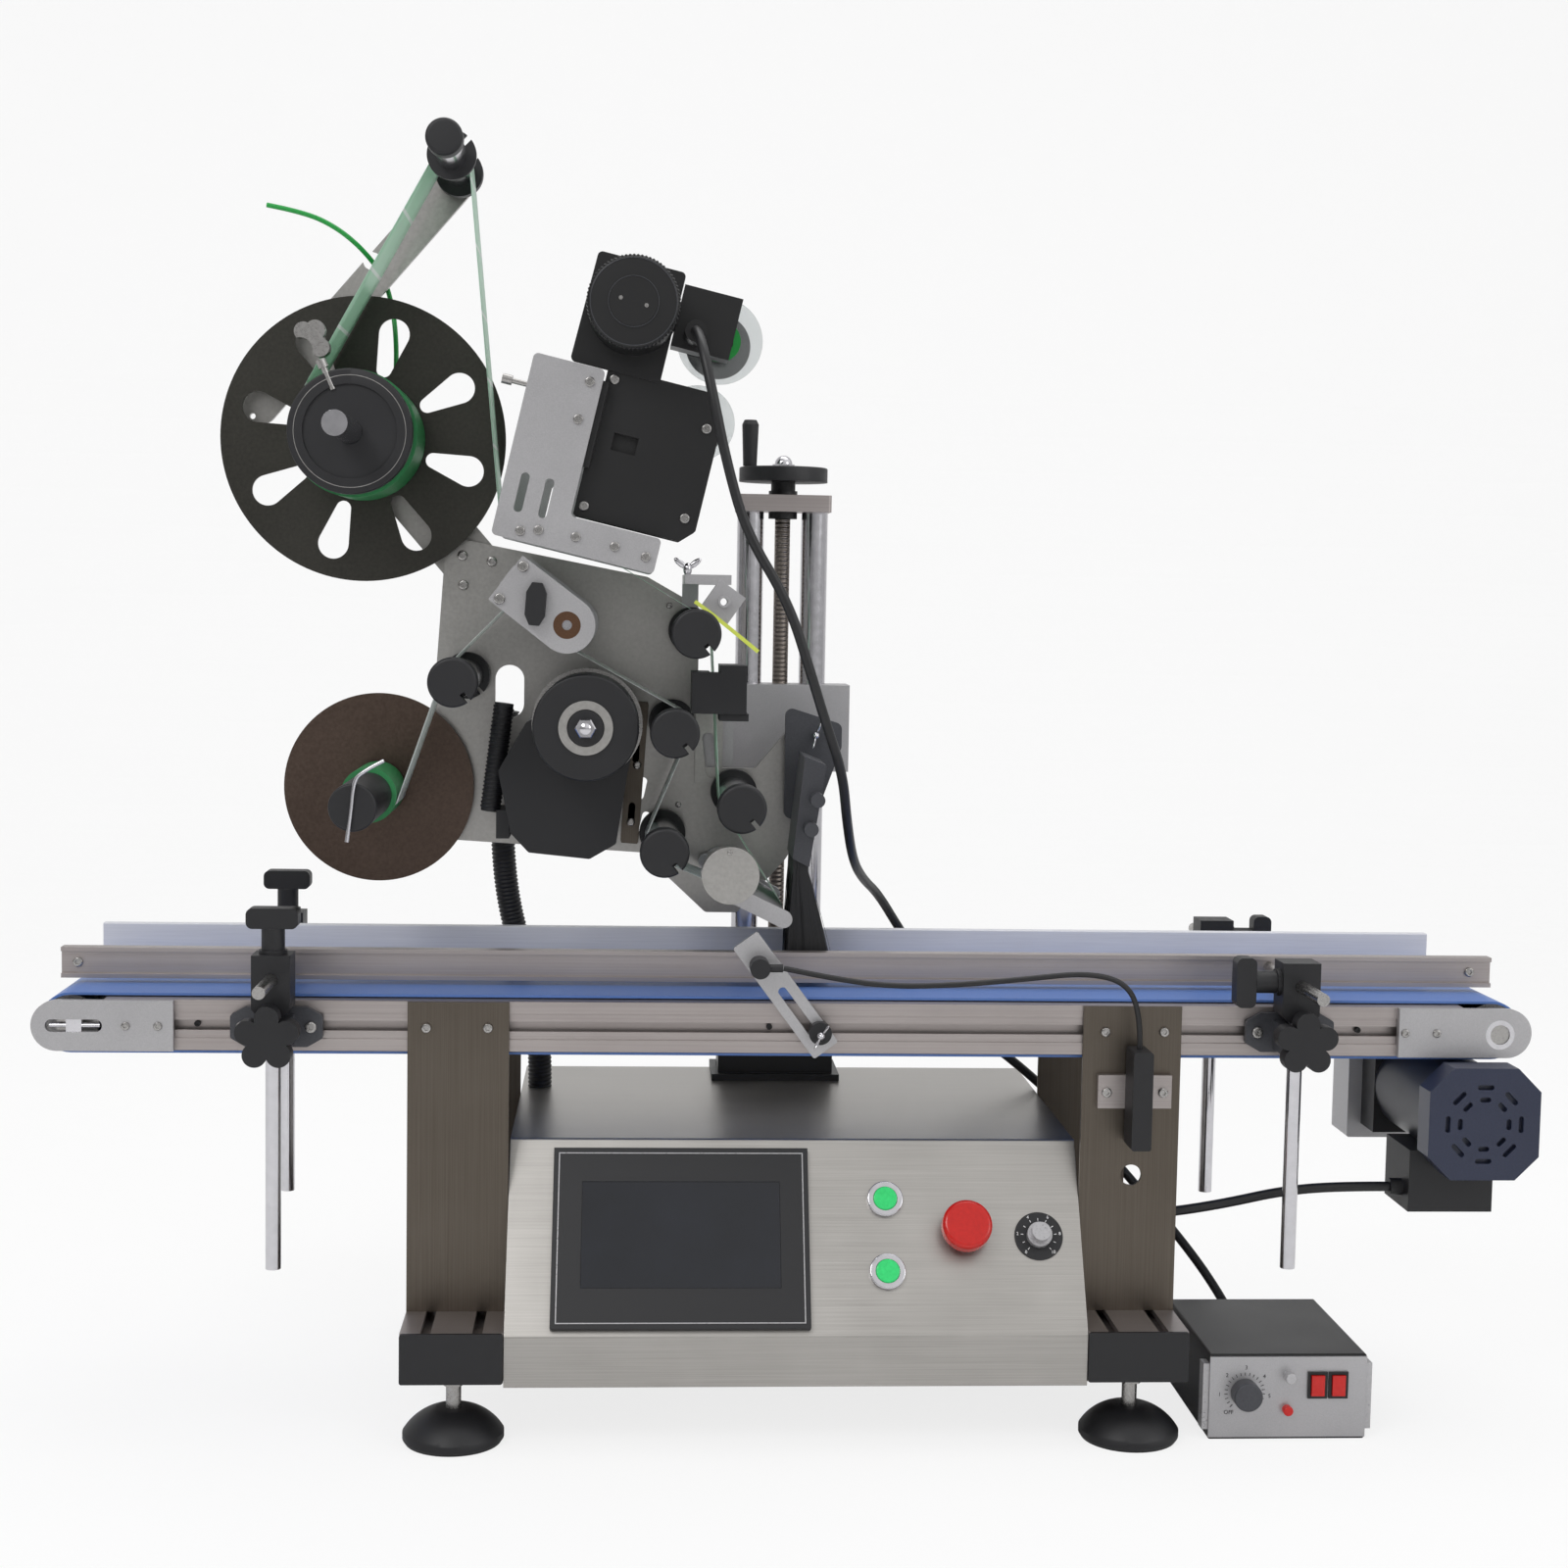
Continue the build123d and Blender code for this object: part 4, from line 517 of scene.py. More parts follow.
cords = {
    "sensor_cable": {"radius": 2.2, "length": 332, "finish": "black pvc sheath", "points": [
        (-12.4, -143, 378), (20, -147, 372), (70, -149, 365), (125, -151, 367), (180, -149, 372),
        (228, -147, 377),
        (262, -141, 368), (274, -137, 340), (274, -137, 314)]},
    "motor_cable": {"radius": 4, "length": 265, "finish": "black pvc sheath", "points": [
        (494.7, -95, 192), (450, -95, 192), (405, -95, 188), (360, -95, 178), (318, -95, 171),
        (275, -95, 167),
        (231.8, -95, 167)]},
    "coder_cable": {"radius": 4, "length": 1181, "finish": "black pvc sheath", "points": [
        (-87.7, -101.5, 876.1), (-85.7, -132, 872.1), (-75.7, -150, 826.1), (-63.7, -150, 771.1),
        (-47.7, -148, 718.1),
        (-14, -146, 665), (4, -145, 612), (18, -136, 570), (34, -110, 530), (42, -70, 486), (52, -20, 450),
        (66, 34, 428),
        (84, 78, 410), (106, 106, 376), (140, 116, 326), (176, 118, 282), (222, 112, 248), (262, 106, 212),
        (305, 98, 168),
        (345, 84, 122), (376, 62, 84), (394, 42, 56), (398, 22, 44), (398, -6.7, 44)]},
    "brake_cord": {"radius": 2.1, "length": 264, "finish": "green urethane cord", "points": [
        (-447, 72, 991), (-416, 73, 986), (-390, 75, 975), (-368, 80.4, 958), (-351.4, 99.4, 937),
        (-343, 98, 908),
        (-338.6, 82, 872), (-339.6, 77, 838), (-339.6, 77, 796)]},
}
hose = {"radius": 10.5, "pitch": 3.6, "depth": 1.3, "points": [
    (-212, 110, 230.1), (-212, 110, 285), (-226, 110, 340), (-241, 110, 392), (-247, 109, 446),
    (-247, 107, 506),
    (-243, 104, 565)]}


def route(name, points, radius=0.0):
    # a NURBS curve through the route's control points
    curve = bpy.data.curves.new(name, "CURVE")
    curve.dimensions = "3D"
    spline = curve.splines.new("NURBS")
    spline.points.add(len(points) - 1)
    for point, place in zip(spline.points, points):
        point.co = (*[v * mm for v in place], 1)
    spline.order_u = 3
    spline.use_endpoint_u = True
    spline.resolution_u = 10
    curve.bevel_depth = radius * mm
    curve.bevel_resolution = 5
    curve.use_fill_caps = True
    return linked(name, curve)


def linePoints(points):
    # the points of a route's spline, read from the curve without a bevel, in millimetres
    probe = route("probe", points)
    mesh = bpy.data.meshes.new_from_object(probe.evaluated_get(bpy.context.evaluated_depsgraph_get()))
    found = np.array([v.co for v in mesh.vertices]) / mm
    bpy.data.objects.remove(probe)
    return found


def alongPath(line, profile):
    # surface of a round section along a path: point = centre + radius * (side * cos + up * sin)
    step = np.gradient(line, axis=0)
    step /= np.linalg.norm(step, axis=1)[:, None]
    side = np.cross(step, (0, 1, 0.001))
    side /= np.linalg.norm(side, axis=1)[:, None]
    up = np.cross(side, step)
    turn = np.linspace(0, 2 * np.pi, 25)[:-1]
    ring = side[:, None] * np.cos(turn)[None, :, None] + up[:, None] * np.sin(turn)[None, :, None]
    return line[:, None] + ring * np.asarray(profile)[:, None, None]


def gridMesh(name, grid, wrap=True):
    # a mesh from a grid of points: rows along the path, columns round it
    rows, columns = grid.shape[:2]
    index = np.arange(rows * columns).reshape(rows, columns)
    a, b = index[:-1], index[1:]
    if wrap:
        quads = np.stack([a, np.roll(a, -1, 1), np.roll(b, -1, 1), b], -1)
    else:
        quads = np.stack([a[:, :-1], a[:, 1:], b[:, 1:], b[:, :-1]], -1)
    faces = quads.reshape(-1, 4).tolist()
    # a profile that ends where it began is a ring and needs no caps
    if wrap and not np.allclose(grid[0], grid[-1]):
        faces += [index[0][::-1].tolist(), index[-1].tolist()]
    mesh = bpy.data.meshes.new(name)
    mesh.from_pydata((grid.reshape(-1, 3) * mm).tolist(), [], faces)
    mesh.update()
    shape = bmesh.new()
    shape.from_mesh(mesh)
    bmesh.ops.recalc_face_normals(shape, faces=shape.faces)
    shape.to_mesh(mesh)
    shape.free()
    mesh.polygons.foreach_set("use_smooth", [True] * len(mesh.polygons))
    return mesh


for name, spec in cords.items():
    line = route(camel(name) + "Look", spec["points"], spec["radius"])
    line.data.materials.append(materials[spec["finish"]])
    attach(line, nodes[name]["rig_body"])
    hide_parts(name)


def makeHose():
    # corrugated conduit: radius = outer radius - depth * (1 - |cos|) along the line
    coarse = linePoints(hose["points"])
    reach = np.r_[0, np.cumsum(np.linalg.norm(np.diff(coarse, axis=0), axis=1))]
    fine = np.arange(0, reach[-1], hose["pitch"] / 6)
    line = np.c_[[np.interp(fine, reach, coarse[:, k]) for k in range(3)]].T
    ripple = np.abs(np.cos(np.pi * fine / hose["pitch"])) ** 0.6
    grid = alongPath(line, hose["radius"] - hose["depth"] * (1 - ripple))
    piece = linked("harnessHoseLook", gridMesh("harnessHoseLook", grid))
    piece.data.materials.append(materials["black moulded nylon"])
    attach(piece, "machine_frame")
    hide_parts("harness_hose")


makeHose()
print("cords ready")


# label web

web = {"y": (-16.0, 58.0), "gap": 0.5, "pitch": 54.0, "space": 3.0, "thickness": 0.25}
rollers = {"idler_top": (-285.0, 1020.5), "idler_liner": (-276.0, 597.0), "idler_entry": (-83.5, 638.5),
           "idler_return": (-99.5, 559.0), "idler_peel": (-45.0, 499.0), "idler_lower": (-106.5, 463.0)}


def atPrinter(u, w, corner=(-248.0, 715.0), tilt=math.radians(13)):
    return (corner[0] + u * math.cos(tilt) + w * math.sin(tilt),
            corner[1] - u * math.sin(tilt) + w * math.cos(tilt))


webRoute = [  # centre, radius, and 1 where the circle lies left of the travel
    ((-364.0, 796.0), 52.0, -1), (rollers["idler_top"], 12.5, -1), (atPrinter(5, 14), 4, 1),
    (atPrinter(80, 4), 4, -1),
    (rollers["idler_entry"], 14.5, -1), (rollers["idler_peel"], 14.5, 1), ((-10.0, 410.0), 3, -1),
    (rollers["idler_lower"], 14.5, -1), (rollers["idler_return"], 14.5, 1), ((-186.5, 643.5), 17, -1),
    ((-234.0, 656.0), 3.5, 1), (rollers["idler_liner"], 14.5, 1), ((-350.5, 499.5), 23, -1)]


def webLine(circles):
    # tangents between circles joined by arcs; also the number of the circle each point belongs to
    joins = []
    for (a, ra, sa), (b, rb, sb) in zip(circles, circles[1:]):
        dx, dz = b[0] - a[0], b[1] - a[1]
        heading = math.atan2(dz, dx) - math.asin((sb * rb - sa * ra) / math.hypot(dx, dz))
        nx, nz = -math.sin(heading), math.cos(heading)
        joins.append(((a[0] - sa * ra * nx, a[1] - sa * ra * nz), (b[0] - sb * rb * nx, b[1] - sb * rb * nz)))
    points, owner = [joins[0][0]], [0]
    for k, ((centre, radius, side), (_, arrive), (leave, _)) in enumerate(zip(circles[1:], joins, joins[1:])):
        first = math.atan2(arrive[1] - centre[1], arrive[0] - centre[0])
        swept = (math.atan2(leave[1] - centre[1], leave[0] - centre[0]) - first) * side % (2 * math.pi)
        angles = first + side * np.linspace(0, swept, max(3, int(swept / 0.12)))
        points += list(zip(centre[0] + radius * np.cos(angles), centre[1] + radius * np.sin(angles)))
        owner += [k + 1] * len(angles)
    points.append(joins[-1][1])
    owner.append(len(circles) - 1)
    return np.array(points), np.array(owner)


def makeWebFinish():
    # pale green labels on a translucent liner: green where the run is inside the pitch, else white
    made = bpy.data.materials.new("printed label web")
    made.use_nodes = True
    tree = made.node_tree
    tree.nodes.clear()
    uv = addNode(tree, "UVMap", {"uv_map": "run"})
    split = addNode(tree, "SeparateXYZ", i0=uv.outputs[0])
    phase = addNode(tree, "Math", {"operation": "FRACT"}, i0=split.outputs["X"])
    label = addNode(tree, "Math", {"operation": "GREATER_THAN"}, i0=phase.outputs[0],
                    i1=web["space"] / web["pitch"])
    worn = addNode(tree, "Math", {"operation": "LESS_THAN"}, i0=split.outputs["Y"], i1=1.5)
    green = addNode(tree, "Math", {"operation": "MULTIPLY"}, i0=label.outputs[0], i1=worn.outputs[0])
    place = addNode(tree, "TexCoord")
    cloud = addNode(tree, "TexNoise", Vector=place.outputs["Object"], Scale=9.0, Detail=2.0)
    tint = addNode(tree, "Mix", {"data_type": "RGBA"}, i0=cloud.outputs[0], i6=linear("#a9d9bb"),
                   i7=linear("#dcebe2"))
    colour = addNode(tree, "Mix", {"data_type": "RGBA"}, i0=green.outputs[0], i6=linear("#e9eeeb"),
                     i7=tint.outputs[2])
    rough = addNode(tree, "MapRange", Value=cloud.outputs[0], To_Min=0.22, To_Max=0.36)
    shader = addNode(tree, "BsdfPrincipled", Base_Color=colour.outputs[2], Roughness=rough.outputs[0])
    thin = addNode(tree, "BsdfTranslucent", Color=colour.outputs[2])
    mixed = addNode(tree, "MixShader", i0=0.35, i1=shader.outputs[0], i2=thin.outputs[0])
    addNode(tree, "OutputMaterial", Surface=mixed.outputs[0])
    return made


def makeWeb():
    circles = [(centre, radius + web["gap"], side) for centre, radius, side in webRoute]
    line, owner = webLine(circles)
    start, end = line[0], line[1]
    line[0] = start + (end - start) * 0.06
    run = np.r_[0, np.cumsum(np.linalg.norm(np.diff(line, axis=0), axis=1))]
    fine = np.unique(np.r_[run, np.arange(0, run[-1], 6.0)])
    x, z = np.interp(fine, run, line[:, 0]), np.interp(fine, run, line[:, 1])
    peeled = run[np.where(owner == 6)[0].max()]
    across = np.linspace(web["y"][0], web["y"][1], 5)
    grid = np.stack([np.repeat(x[:, None], 5, 1), np.repeat(across[None], len(x), 0),
                     np.repeat(z[:, None], 5, 1)], -1)
    mesh = gridMesh("labelWebLook", grid, wrap=False)
    layer = mesh.uv_layers.new(name="run")
    corner = np.zeros(len(mesh.loops), int)
    mesh.loops.foreach_get("vertex_index", corner)
    along = np.repeat(fine, 5)[corner]
    after = np.where(along > peeled, 2.0, 1.0)
    layer.data.foreach_set("uv", np.c_[along / web["pitch"], after].ravel())
    piece = linked("labelWebLook", mesh)
    thick = piece.modifiers.new("film", "SOLIDIFY")
    thick.thickness = web["thickness"] * mm
    thick.offset = 0
    mesh.materials.append(makeWebFinish())
    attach(piece, "carriage")
    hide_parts("label_web")


makeWeb()
print("label web ready")

# small parts, each a surface of two parameters

fasteners = {  # x, face y, z, head radius; the heads look at the operator
    "carriage": [(-281.3, 77, 699.3, 4.5), (-280.3, 77, 674.1, 4.5), (-256.1, 77, 694.7, 4.5),
                 (-102.9, 77, 659.5, 2.6),
                 (-92.8, 77, 486.4, 2.6), (-129, 73, 520.8, 3.6), (-134, 73, 471.1, 3.6),
                 (-54.8, -112, 465.6, 2.2)],
    "machine_frame": [(-293.2, -118, 324.3, 4), (-244.7, -118, 324.5, 4), (249.9, -118, 324.2, 4),
                      (297.8, -118, 324.4, 4), (-526.8, -121, 325, 3.4), (-501.9, -121, 325, 3.4),
                      (495.2, -121, 325, 3.4), (521.2, -121, 325, 3.4)],
}
setScrews = [(-473.6, -107, 325), (-21, -107, 325), (459.8, -107, 325)]


def around(count=24):
    return np.linspace(0, 2 * np.pi, count + 1)[:-1]


def lathe(x, z, profile, count=24, hexRows=()):
    # surface about an axis along Y; a profile row is (radius, y), and in a hex row it follows a hexagon
    turn = around(count)
    flat = math.cos(math.pi / 6) / np.cos(turn % (np.pi / 3) - np.pi / 6)
    rows = []
    for number, (radius, y) in enumerate(profile):
        reach = radius * (flat if number in hexRows else 1.0) * np.ones(count)
        rows.append(np.c_[x + reach * np.cos(turn), np.full(count, y), z + reach * np.sin(turn)])
    return np.array(rows)


def joined(name, grids, body, finish, wrap=True):
    # one mesh of several grids, riding a body
    verts, faces, first = [], [], 0
    for grid in grids:
        part = gridMesh("part", grid, wrap)
        verts += [tuple(v.co) for v in part.vertices]
        faces += [[first + k for k in face.vertices] for face in part.polygons]
        first = len(verts)
        bpy.data.meshes.remove(part)
    mesh = bpy.data.meshes.new(name)
    mesh.from_pydata(verts, [], faces)
    mesh.polygons.foreach_set("use_smooth", [True] * len(faces))
    mesh.set_sharp_from_angle(angle=math.radians(edges["smallSharp"]))
    mesh.materials.append(materials[finish])
    piece = linked(name, mesh)
    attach(piece, body)
    return piece


def thinRing(x, z, inner, outer, back, front, count):
    # a raised ring: its section is a rectangle that ends where it began
    return lathe(x, z, [(inner, back), (inner, front), (outer, front), (outer, back), (inner, back)], count)


def panHead(x, face, z, radius):
    # pan head with a hex socket: the outline rises 0.6 radius and dips into the hexagon
    high = 0.62 * radius
    profile = [(radius, face), (radius, face - 0.5 * high), (0.86 * radius, face - 0.85 * high),
               (0.62 * radius, face - high), (0.5 * radius, face - high), (0.5 * radius, face - 0.4 * high),
               (0.02, face - 0.4 * high)]
    return lathe(x, z, profile, 24, hexRows=(4, 5))


for body, spots in fasteners.items():
    joined(camel(body) + "Fasteners", [panHead(x, y, z, r) for x, y, z, r in spots], body,
           "zinc plated steel")
joined("railSetScrews", [lathe(x, z, [(2.4, y), (2.4, y - 2), (1.4, y - 2), (1.4, y - 1), (0.02, y - 1)])
                         for x, y, z in setScrews], "machine_frame", "black moulded nylon")


headStrip = {"top": (-127.3, 576.1), "low": (-135.1, 452.3), "width": 15.5, "y": (73, 77),
             "slots": (0.36, 0.78), "slotRadius": 3.0, "slotHalf": 5.5, "slotSteps": 20}


def makeHeadStrip():
    # dark slotted strip beside the gearcase: a box swept along its length, its section a rectangle
    (x0, z0), (x1, z1) = headStrip["top"], headStrip["low"]
    run = np.array([x1 - x0, z1 - z0]) / math.hypot(x1 - x0, z1 - z0)
    side = np.array([run[1], -run[0]]) * headStrip["width"] / 2
    front, back = headStrip["y"]
    rows = []
    for share in (0, 0.02, 0.98, 1):
        middle = np.array([x0, z0]) + np.array([x1 - x0, z1 - z0]) * share
        wide = 0.9 if share in (0, 1) else 1.0
        a, b = middle - side * wide, middle + side * wide
        rows.append([(a[0], front, a[1]), (b[0], front, b[1]), (b[0], back, b[1]), (a[0], back, a[1])])
    joined("headStrip", [np.array(rows)], "carriage", "dark brushed stainless")
    # painted shade: the slots are not cut, and each is a flat black shape on the strip's face standing in for the
    # shade inside the open slot
    slots = []
    steps, radius, half = headStrip["slotSteps"], headStrip["slotRadius"], headStrip["slotHalf"]
    for share in headStrip["slots"]:
        middle = np.array([x0, z0]) + np.array([x1 - x0, z1 - z0]) * share
        turn = around(steps)
        reach = np.c_[radius * np.cos(turn), radius * np.sin(turn) + np.sign(np.sin(turn)) * half]
        ring = middle + reach[:, :1] * side / (headStrip["width"] / 2) + reach[:, 1:] * run
        rim = np.c_[ring[:, 0], np.full(steps, front - 0.15), ring[:, 1]]
        core = np.tile([middle[0], front - 0.15, middle[1]], (steps, 1))
        slots.append(np.array([rim, core * 0.98 + rim * 0.02]))
    joined("headStripSlots", slots, "carriage", "black moulded nylon")


makeHeadStrip()

feedNut = {"place": (-171, 561), "face": -79, "radius": 8.6, "height": 6.5, "bolt": 4.6}
x, z = feedNut["place"]
face, high = feedNut["face"], feedNut["height"]
nut = [(feedNut["radius"], face), (feedNut["radius"], face - high + 1), (feedNut["radius"] - 1, face - high),
       (feedNut["bolt"], face - high), (feedNut["bolt"], face - high - 2), (2.2, face - high - 3.4),
       (0.02, face - high - 3.6)]
joined("feedNut", [lathe(x, z, nut, 24, hexRows=(0, 1, 2))], "feed_wheel", "polished steel")

hubLine = {"place": (-364, 796), "radius": 44.8, "width": 0.5, "y": -39.2}
x, z = hubLine["place"]
r, w, y = hubLine["radius"], hubLine["width"], hubLine["y"]
joined("hubLine", [thinRing(x, z, r, r + w, y + 0.3, y, 96)], "unwind_reel", "satin grey plate")


coilRim = {"place": (68, 201), "radius": 36.4, "depth": 0.5, "teeth": 72, "y": (-117, -107),
           "rings": ((19.4, 19.9, -118.8, -119.3), (33.4, 34.0, -118, -118.4)),
           "dots": ((-10, 2.5), (10, -3.0))}


def makeCoil():
    # knurled rim: radius = rim + depth * cos(teeth * angle); and a fine bright line round the cap
    x, z = atPrinter(*coilRim["place"])
    turn = around(coilRim["teeth"] * 4)
    reach = coilRim["radius"] + coilRim["depth"] * np.cos(coilRim["teeth"] * turn)
    front, back = coilRim["y"]
    section = ((0.97, front), (1, front + 1), (1, back), (0.97, back), (0.97, front))
    rows = [np.c_[x + reach * k * np.cos(turn), np.full(len(turn), y), z + reach * k * np.sin(turn)] for k,
            y in section]
    joined("coilRim", [np.array(rows)], "carriage", "black powder coat")
    rings = [thinRing(x, z, *ring, 72) for ring in coilRim["rings"]]
    joined("coilLines", rings, "carriage", "dark grey enamel")
    dot = [(1.6, -119.1), (1.6, -119.5), (0.02, -119.5)]
    marks = [lathe(x + right, z + up, dot, 16) for right, up in coilRim["dots"]]
    joined("coilMarks", marks, "carriage", "zinc plated steel")


makeCoil()

spoolCore = {"upper": (141, 198, -26.4), "lower": (139, 130, -11.9), "green": 17, "white": 11}
for name in ("upper", "lower"):
    u, w, y = spoolCore[name]
    x, z = atPrinter(u, w)
    body = "ribbon_spool_" + name
    outer, inner = spoolCore["green"], spoolCore["white"]
    joined(name + "SpoolRing", [thinRing(x, z, outer, inner, y, y - 0.5, 40)], body,
           "green urethane cord" if name == "upper" else "white hdpe")


sleeve = {"middle": (-247, 20, 530), "lean": math.radians(7), "length": 88, "radius": 8.2, "rib": 0.9,
          "pitch": 3.4}


def makeSleeve():
    # spiral rib: the centre turns round the leaning sleeve once a pitch, the section is a small circle
    lean = sleeve["lean"]
    up = np.array([math.sin(lean), 0, math.cos(lean)])
    right = np.array([math.cos(lean), 0, -math.sin(lean)])
    turns = sleeve["length"] / sleeve["pitch"]
    angle = np.linspace(0, 2 * np.pi * turns, int(turns * 20))
    out = np.cos(angle)[:, None] * right + np.sin(angle)[:, None] * np.array([0, 1, 0])
    height = (angle / (2 * np.pi) * sleeve["pitch"] - sleeve["length"] / 2)[:, None]
    centre = np.array(sleeve["middle"]) + up * height + out * sleeve["radius"]
    ring = around(6)
    grid = centre[:, None] + sleeve["rib"] * (np.cos(ring)[None, :, None] * out[:, None] + np.sin(ring)[None,
                                                                                                        :,
                                                                                                        None] * up)
    joined("sleeveRib", [grid], "carriage", "black moulded nylon")


makeSleeve()


def smoothLine(points, count=40):
    # evenly spaced points along a route's spline
    points = np.array(points, float)
    line = linePoints([tuple(p) for p in points])
    reach = np.r_[0, np.cumsum(np.linalg.norm(np.diff(line, axis=0), axis=1))]
    where = np.linspace(0, reach[-1], count)
    return np.c_[[np.interp(where, reach, line[:, k]) for k in range(3)]].T


strap = {"points": [(-84, -48, 664), (-74, -50, 657), (-52, -52, 640), (-32, -54, 624)], "width": 3.2,
         "thick": 0.9}


def makeStrap():
    line = smoothLine(strap["points"])
    step = np.gradient(line, axis=0)
    step /= np.linalg.norm(step, axis=1)[:, None]
    flat = np.cross(step, (0, 1, 0))
    a, b = flat * strap["width"] / 2, np.array([0, strap["thick"] / 2, 0])
    joined("strap", [np.stack([line - a - b, line + a - b, line + a + b, line - a + b], 1)], "carriage",
           "yellow green strap")


makeStrap()

wireClip = {"points": [(-325.8, 536.8), (-345, 527), (-349.4, 517.4), (-351, 497), (-354.3, 472.9)],
            "y": -131.5,
            "radius": 1.5}
line = smoothLine([(x, wireClip["y"], z) for x, z in wireClip["points"]])
joined("wireClip", [alongPath(line, np.full(len(line), wireClip["radius"]))], "carriage", "polished steel")


bristles = {"count": 900, "root": ((1.5, 452), (12, 447.5)), "tip": ((-3, 357), (36, 359)), "y": (-38, 28),
            "radius": 0.35}


def makeBristles():
    # bristles fan out: root and tip share the same two parameters, the tip a little scattered and bent
    dice = np.random.default_rng(7)
    count = bristles["count"]
    u, v = dice.random(count), dice.random(count)
    (ax, az), (bx, bz) = bristles["root"]
    (cx, cz), (dx, dz) = bristles["tip"]
    y0, y1 = bristles["y"]
    root = np.c_[ax + (bx - ax) * u, y0 + (y1 - y0) * v, az + (bz - az) * u]
    tip = np.c_[cx + (dx - cx) * u, y0 - 2 + (y1 - y0 + 4) * v, cz + (dz - cz) * u]
    tip += dice.normal(0, (1.2, 1.2, 2.2), (count, 3))
    rows, sides = 5, 3
    share = np.linspace(0, 1, rows)[:, None, None]
    line = root * (1 - share) + tip * share
    line[..., 0] += 2.2 * np.sin(np.pi * share[..., 0]) * (u - 0.5)
    turn = around(sides)
    section = np.c_[np.cos(turn), np.sin(turn), 0 * turn] * bristles["radius"]
    grid = line[:, :, None] + section[None, None] * (1 - 0.6 * share[..., None])
    mesh = bpy.data.meshes.new("bristles")
    verts = grid.transpose(1, 0, 2, 3).reshape(-1, 3) * mm
    k = np.arange(count)[:, None, None] * rows * sides + np.arange(rows - 1)[None, :, None] * sides
    c = np.arange(sides)[None, None]
    quads = np.stack([k + c, k + (c + 1) % sides, k + sides + (c + 1) % sides, k + sides + c],
                     -1).reshape(-1, 4)
    mesh.from_pydata(verts.tolist(), [], quads.tolist())
    mesh.materials.append(materials["black bristles"])
    piece = linked("bristles", mesh)
    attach(piece, "brush_arm")


makeBristles()


wings = [  # body, place, way of the screw, spread of the wings
    ("carriage", (-90, -34, 690), (0, 0, 1), (1, 0, 0)),
    ("brush_arm", (24.4, 47, 550.3), (0, -1, 0), (0.3, 0, 1)),
    ("product_sensor", (18, -141, 324), (0, -1, 0), (0.6, 0, 1))]


def wingScrew(place, way, spread):
    # a boss turned about its way and two wings, each an ellipsoid that leans away from it
    way, spread = Vector(way).normalized(), Vector(spread).normalized()
    third = way.cross(spread)
    grids = []
    theta, phi = np.meshgrid(around(16), np.linspace(0.02, np.pi - 0.02, 9))
    ball = np.stack([np.sin(phi) * np.cos(theta), np.sin(phi) * np.sin(theta), np.cos(phi)], -1)
    for side in (-1, 1):
        along = (way * 0.8 + spread * side).normalized()
        across = third.cross(along)
        frame3 = np.array([across * 2.6, third * 1.3, along * 6.5])
        grids.append(np.array(place) + np.array(spread * side * 6 + way * 5) + ball @ frame3)
    frame3 = np.array([spread * 3.6, third * 3.6, way * 5.5])
    grids.append(np.array(place) + ball @ frame3)
    return grids


for number, (body, place, way, spread) in enumerate(wings):
    joined("wingScrew" + str(number), wingScrew(place, way, spread), body, "polished steel")
print("small parts ready")


# printed marks

heaterDial = {"place": (363.7, 38.7), "y": -155.15, "inner": 14.0, "outer": 16.6, "ticks": 21, "sweep": 270,
              "words": ("OFF", "1", "2", "3", "4", "5"), "ring": 20.5, "size": 4.6}
speedDial = {"place": (195, 80), "lift": 1.35, "inner": 12.5, "outer": 14.5, "ticks": 11, "sweep": 280,
             "ring": 17.2,
             "size": 3.6}
slope = {"low": (2, -175, 92), "rise": 138, "depth": 82}  # front face of the cabinet
slopeLean = math.atan2(slope["rise"], slope["depth"])


def onSlope(u, v, lift):
    # panel coordinates to the frame: along X, up the slope, out of it
    u, v, lift = np.broadcast_arrays(u, v, lift)
    c, s = math.cos(slopeLean), math.sin(slopeLean)
    x, y, z = slope["low"]
    return np.stack([x + u, y + v * c - lift * s, z + v * s + lift * c], -1)


def onFront(u, v, lift):
    u, v, lift = np.broadcast_arrays(u, v, lift)
    return np.stack([u, heaterDial["y"] - lift, v], -1)


def tickGrids(dial, surface, depth):
    # ticks round a dial: each a small box from the inner to the outer radius
    grids = []
    for angle in np.radians(np.linspace(90 + dial["sweep"] / 2, 90 - dial["sweep"] / 2, dial["ticks"])):
        c, s = math.cos(angle), math.sin(angle)
        rows = []
        for reach in (dial["inner"], dial["outer"]):
            u, v = dial["place"][0] + reach * c, dial["place"][1] + reach * s
            corners = ((-1, 0), (1, 0), (1, 1), (-1, 1))
            rows.append([surface(u - 0.25 * s * k, v + 0.25 * c * k, depth * d) for k, d in corners])
        grids.append(np.array(rows))
    return grids


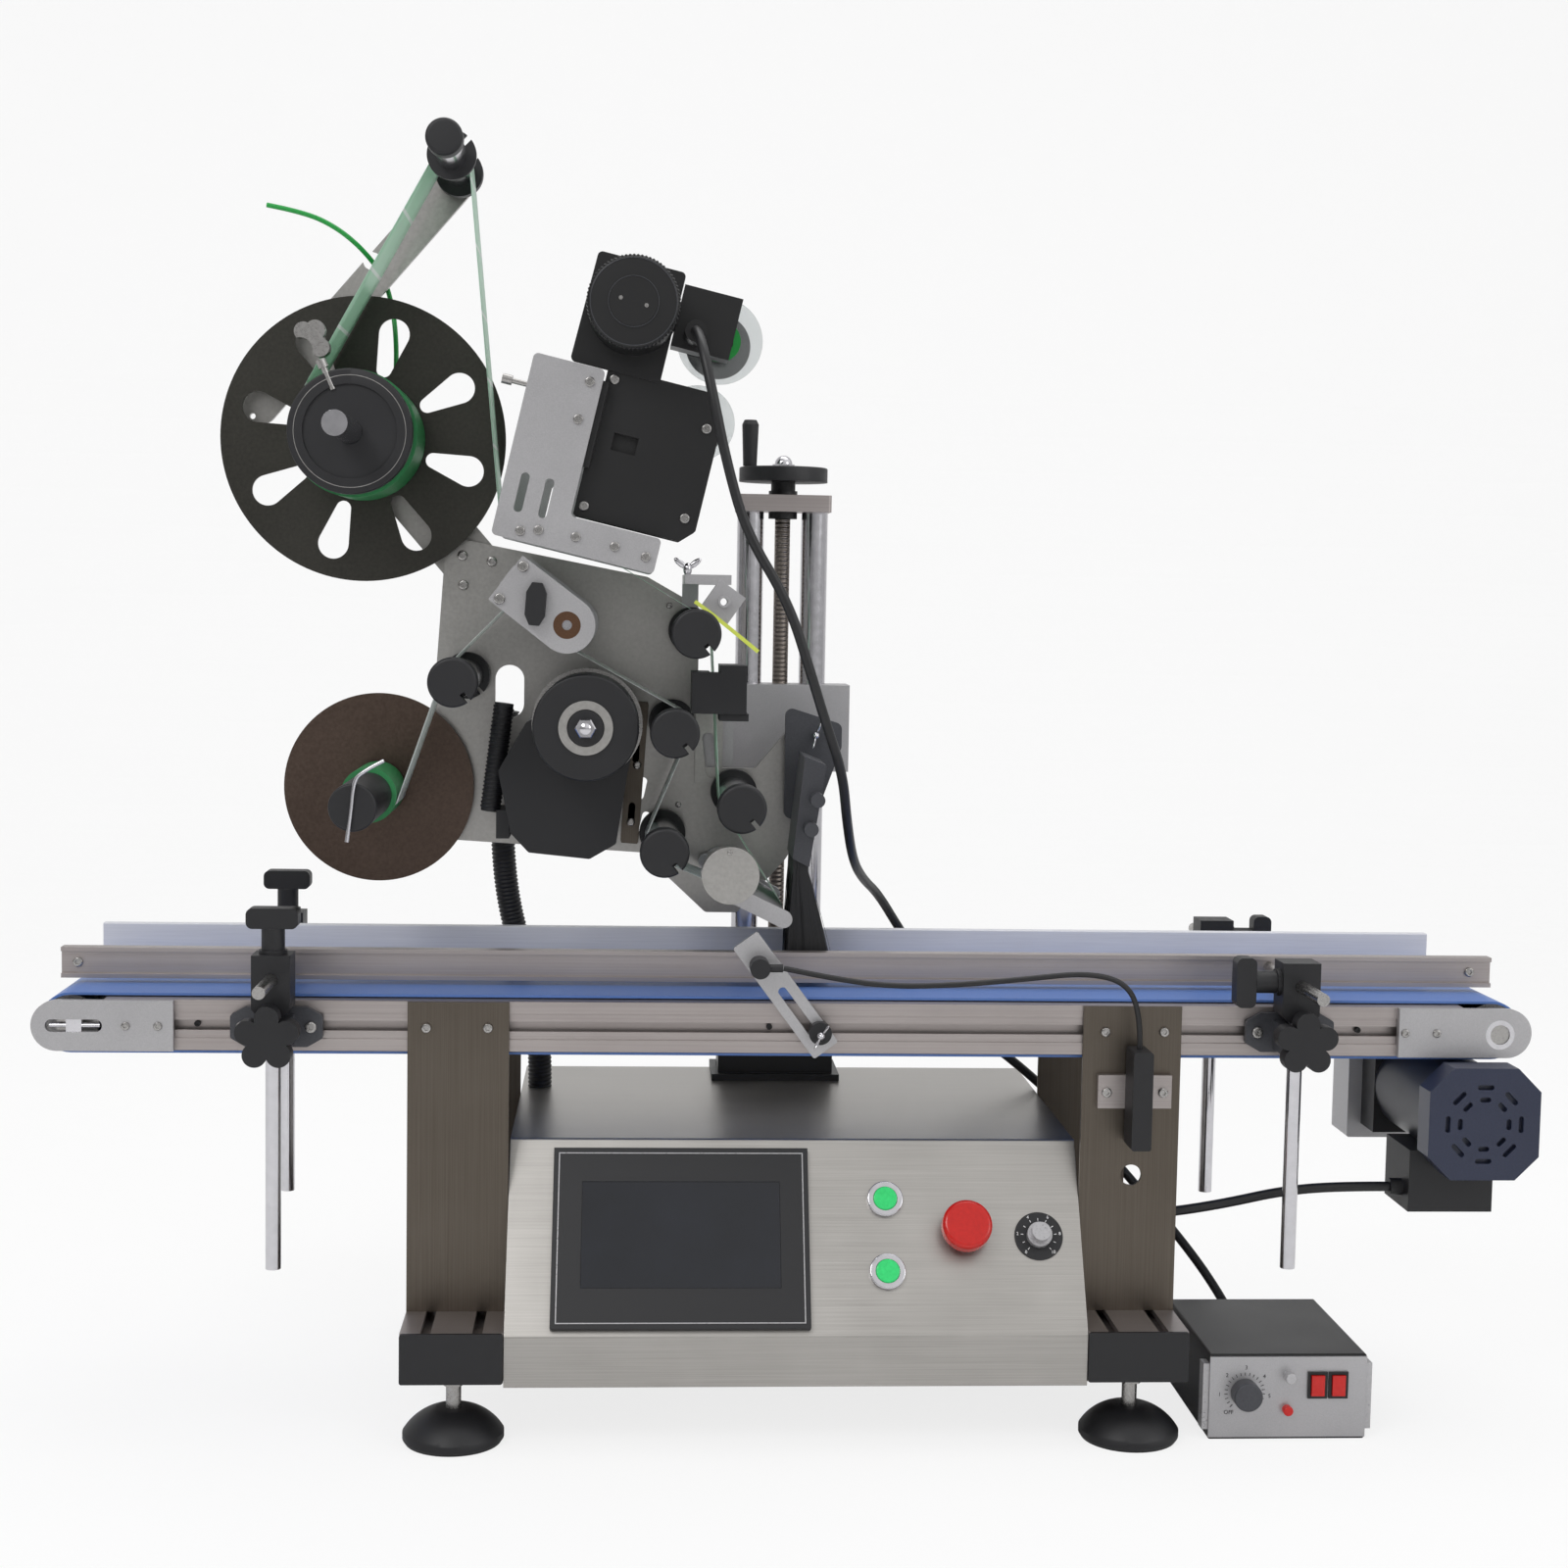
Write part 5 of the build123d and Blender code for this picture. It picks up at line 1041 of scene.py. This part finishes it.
def addWord(text, size, centre, surface, body, finish):
    # a word as a mesh, centred on a place of a surface
    curve = bpy.data.curves.new("word", "FONT")
    curve.body = text
    curve.size = size
    curve.extrude = 0.05
    curve.align_x = "CENTER"
    curve.align_y = "CENTER"
    probe = bpy.data.objects.new("word", curve)
    bpy.context.scene.collection.objects.link(probe)
    mesh = bpy.data.meshes.new_from_object(probe.evaluated_get(bpy.context.evaluated_depsgraph_get()))
    bpy.data.objects.remove(probe)
    flat = np.array([v.co for v in mesh.vertices])
    placed = surface(centre[0] + flat[:, 0], centre[1] + flat[:, 1], 0.05 + flat[:, 2]) * mm
    mesh.vertices.foreach_set("co", placed.ravel())
    mesh.materials.clear()
    mesh.materials.append(materials[finish])
    mesh.update()
    piece = linked("mark" + text, mesh)
    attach(piece, body)


joined("heaterTicks", tickGrids(heaterDial, onFront, 0.15), "machine_frame", "black powder coat")
joined("speedTicks", tickGrids(speedDial, lambda u, v, d: onSlope(u, v, speedDial["lift"] + d), 0.15),
       "machine_frame",
       "white ink")
for number, text in enumerate(heaterDial["words"]):
    angle = math.radians(232 - 48 * number)
    spot = [p + heaterDial["ring"] * t for p,
            t in zip(heaterDial["place"], (math.cos(angle), math.sin(angle)))]
    addWord(text, heaterDial["size"], spot, onFront, "machine_frame", "black powder coat")
for number in range(0, 11, 2):
    angle = math.radians(230 - 28 * number)
    spot = [p + speedDial["ring"] * t for p, t in zip(speedDial["place"], (math.cos(angle), math.sin(angle)))]
    addWord(str(number), speedDial["size"], spot, lambda u, v, d: onSlope(u, v, speedDial["lift"] + d),
            "machine_frame",
            "white ink")


# painted highlight: a thin pale frame stands in for the light caught along the edge of the touch panel bezel
bezelLine = {"place": (-92, 78), "half": (98, 69), "width": 0.9, "lift": 6.1}


def makeBezelLine():
    # a painted highlight on the touch panel bezel: a fine pale frame near the edge of the touch panel, a closed
    # band of four straight runs
    u, v = bezelLine["place"]
    rows = []
    for inset, lift in ((0, 0), (0, 0.15), (bezelLine["width"], 0.15), (bezelLine["width"], 0), (0, 0)):
        a, b = bezelLine["half"][0] - inset, bezelLine["half"][1] - inset
        corners = [(-a, -b), (a, -b), (a, b), (-a, b)]
        rows.append([onSlope(u + x, v + y, bezelLine["lift"] - 0.1 + lift) for x, y in corners])
    joined("bezelLine", [np.array(rows)], "machine_frame", "silver cap plastic")


makeBezelLine()
print("marks ready")
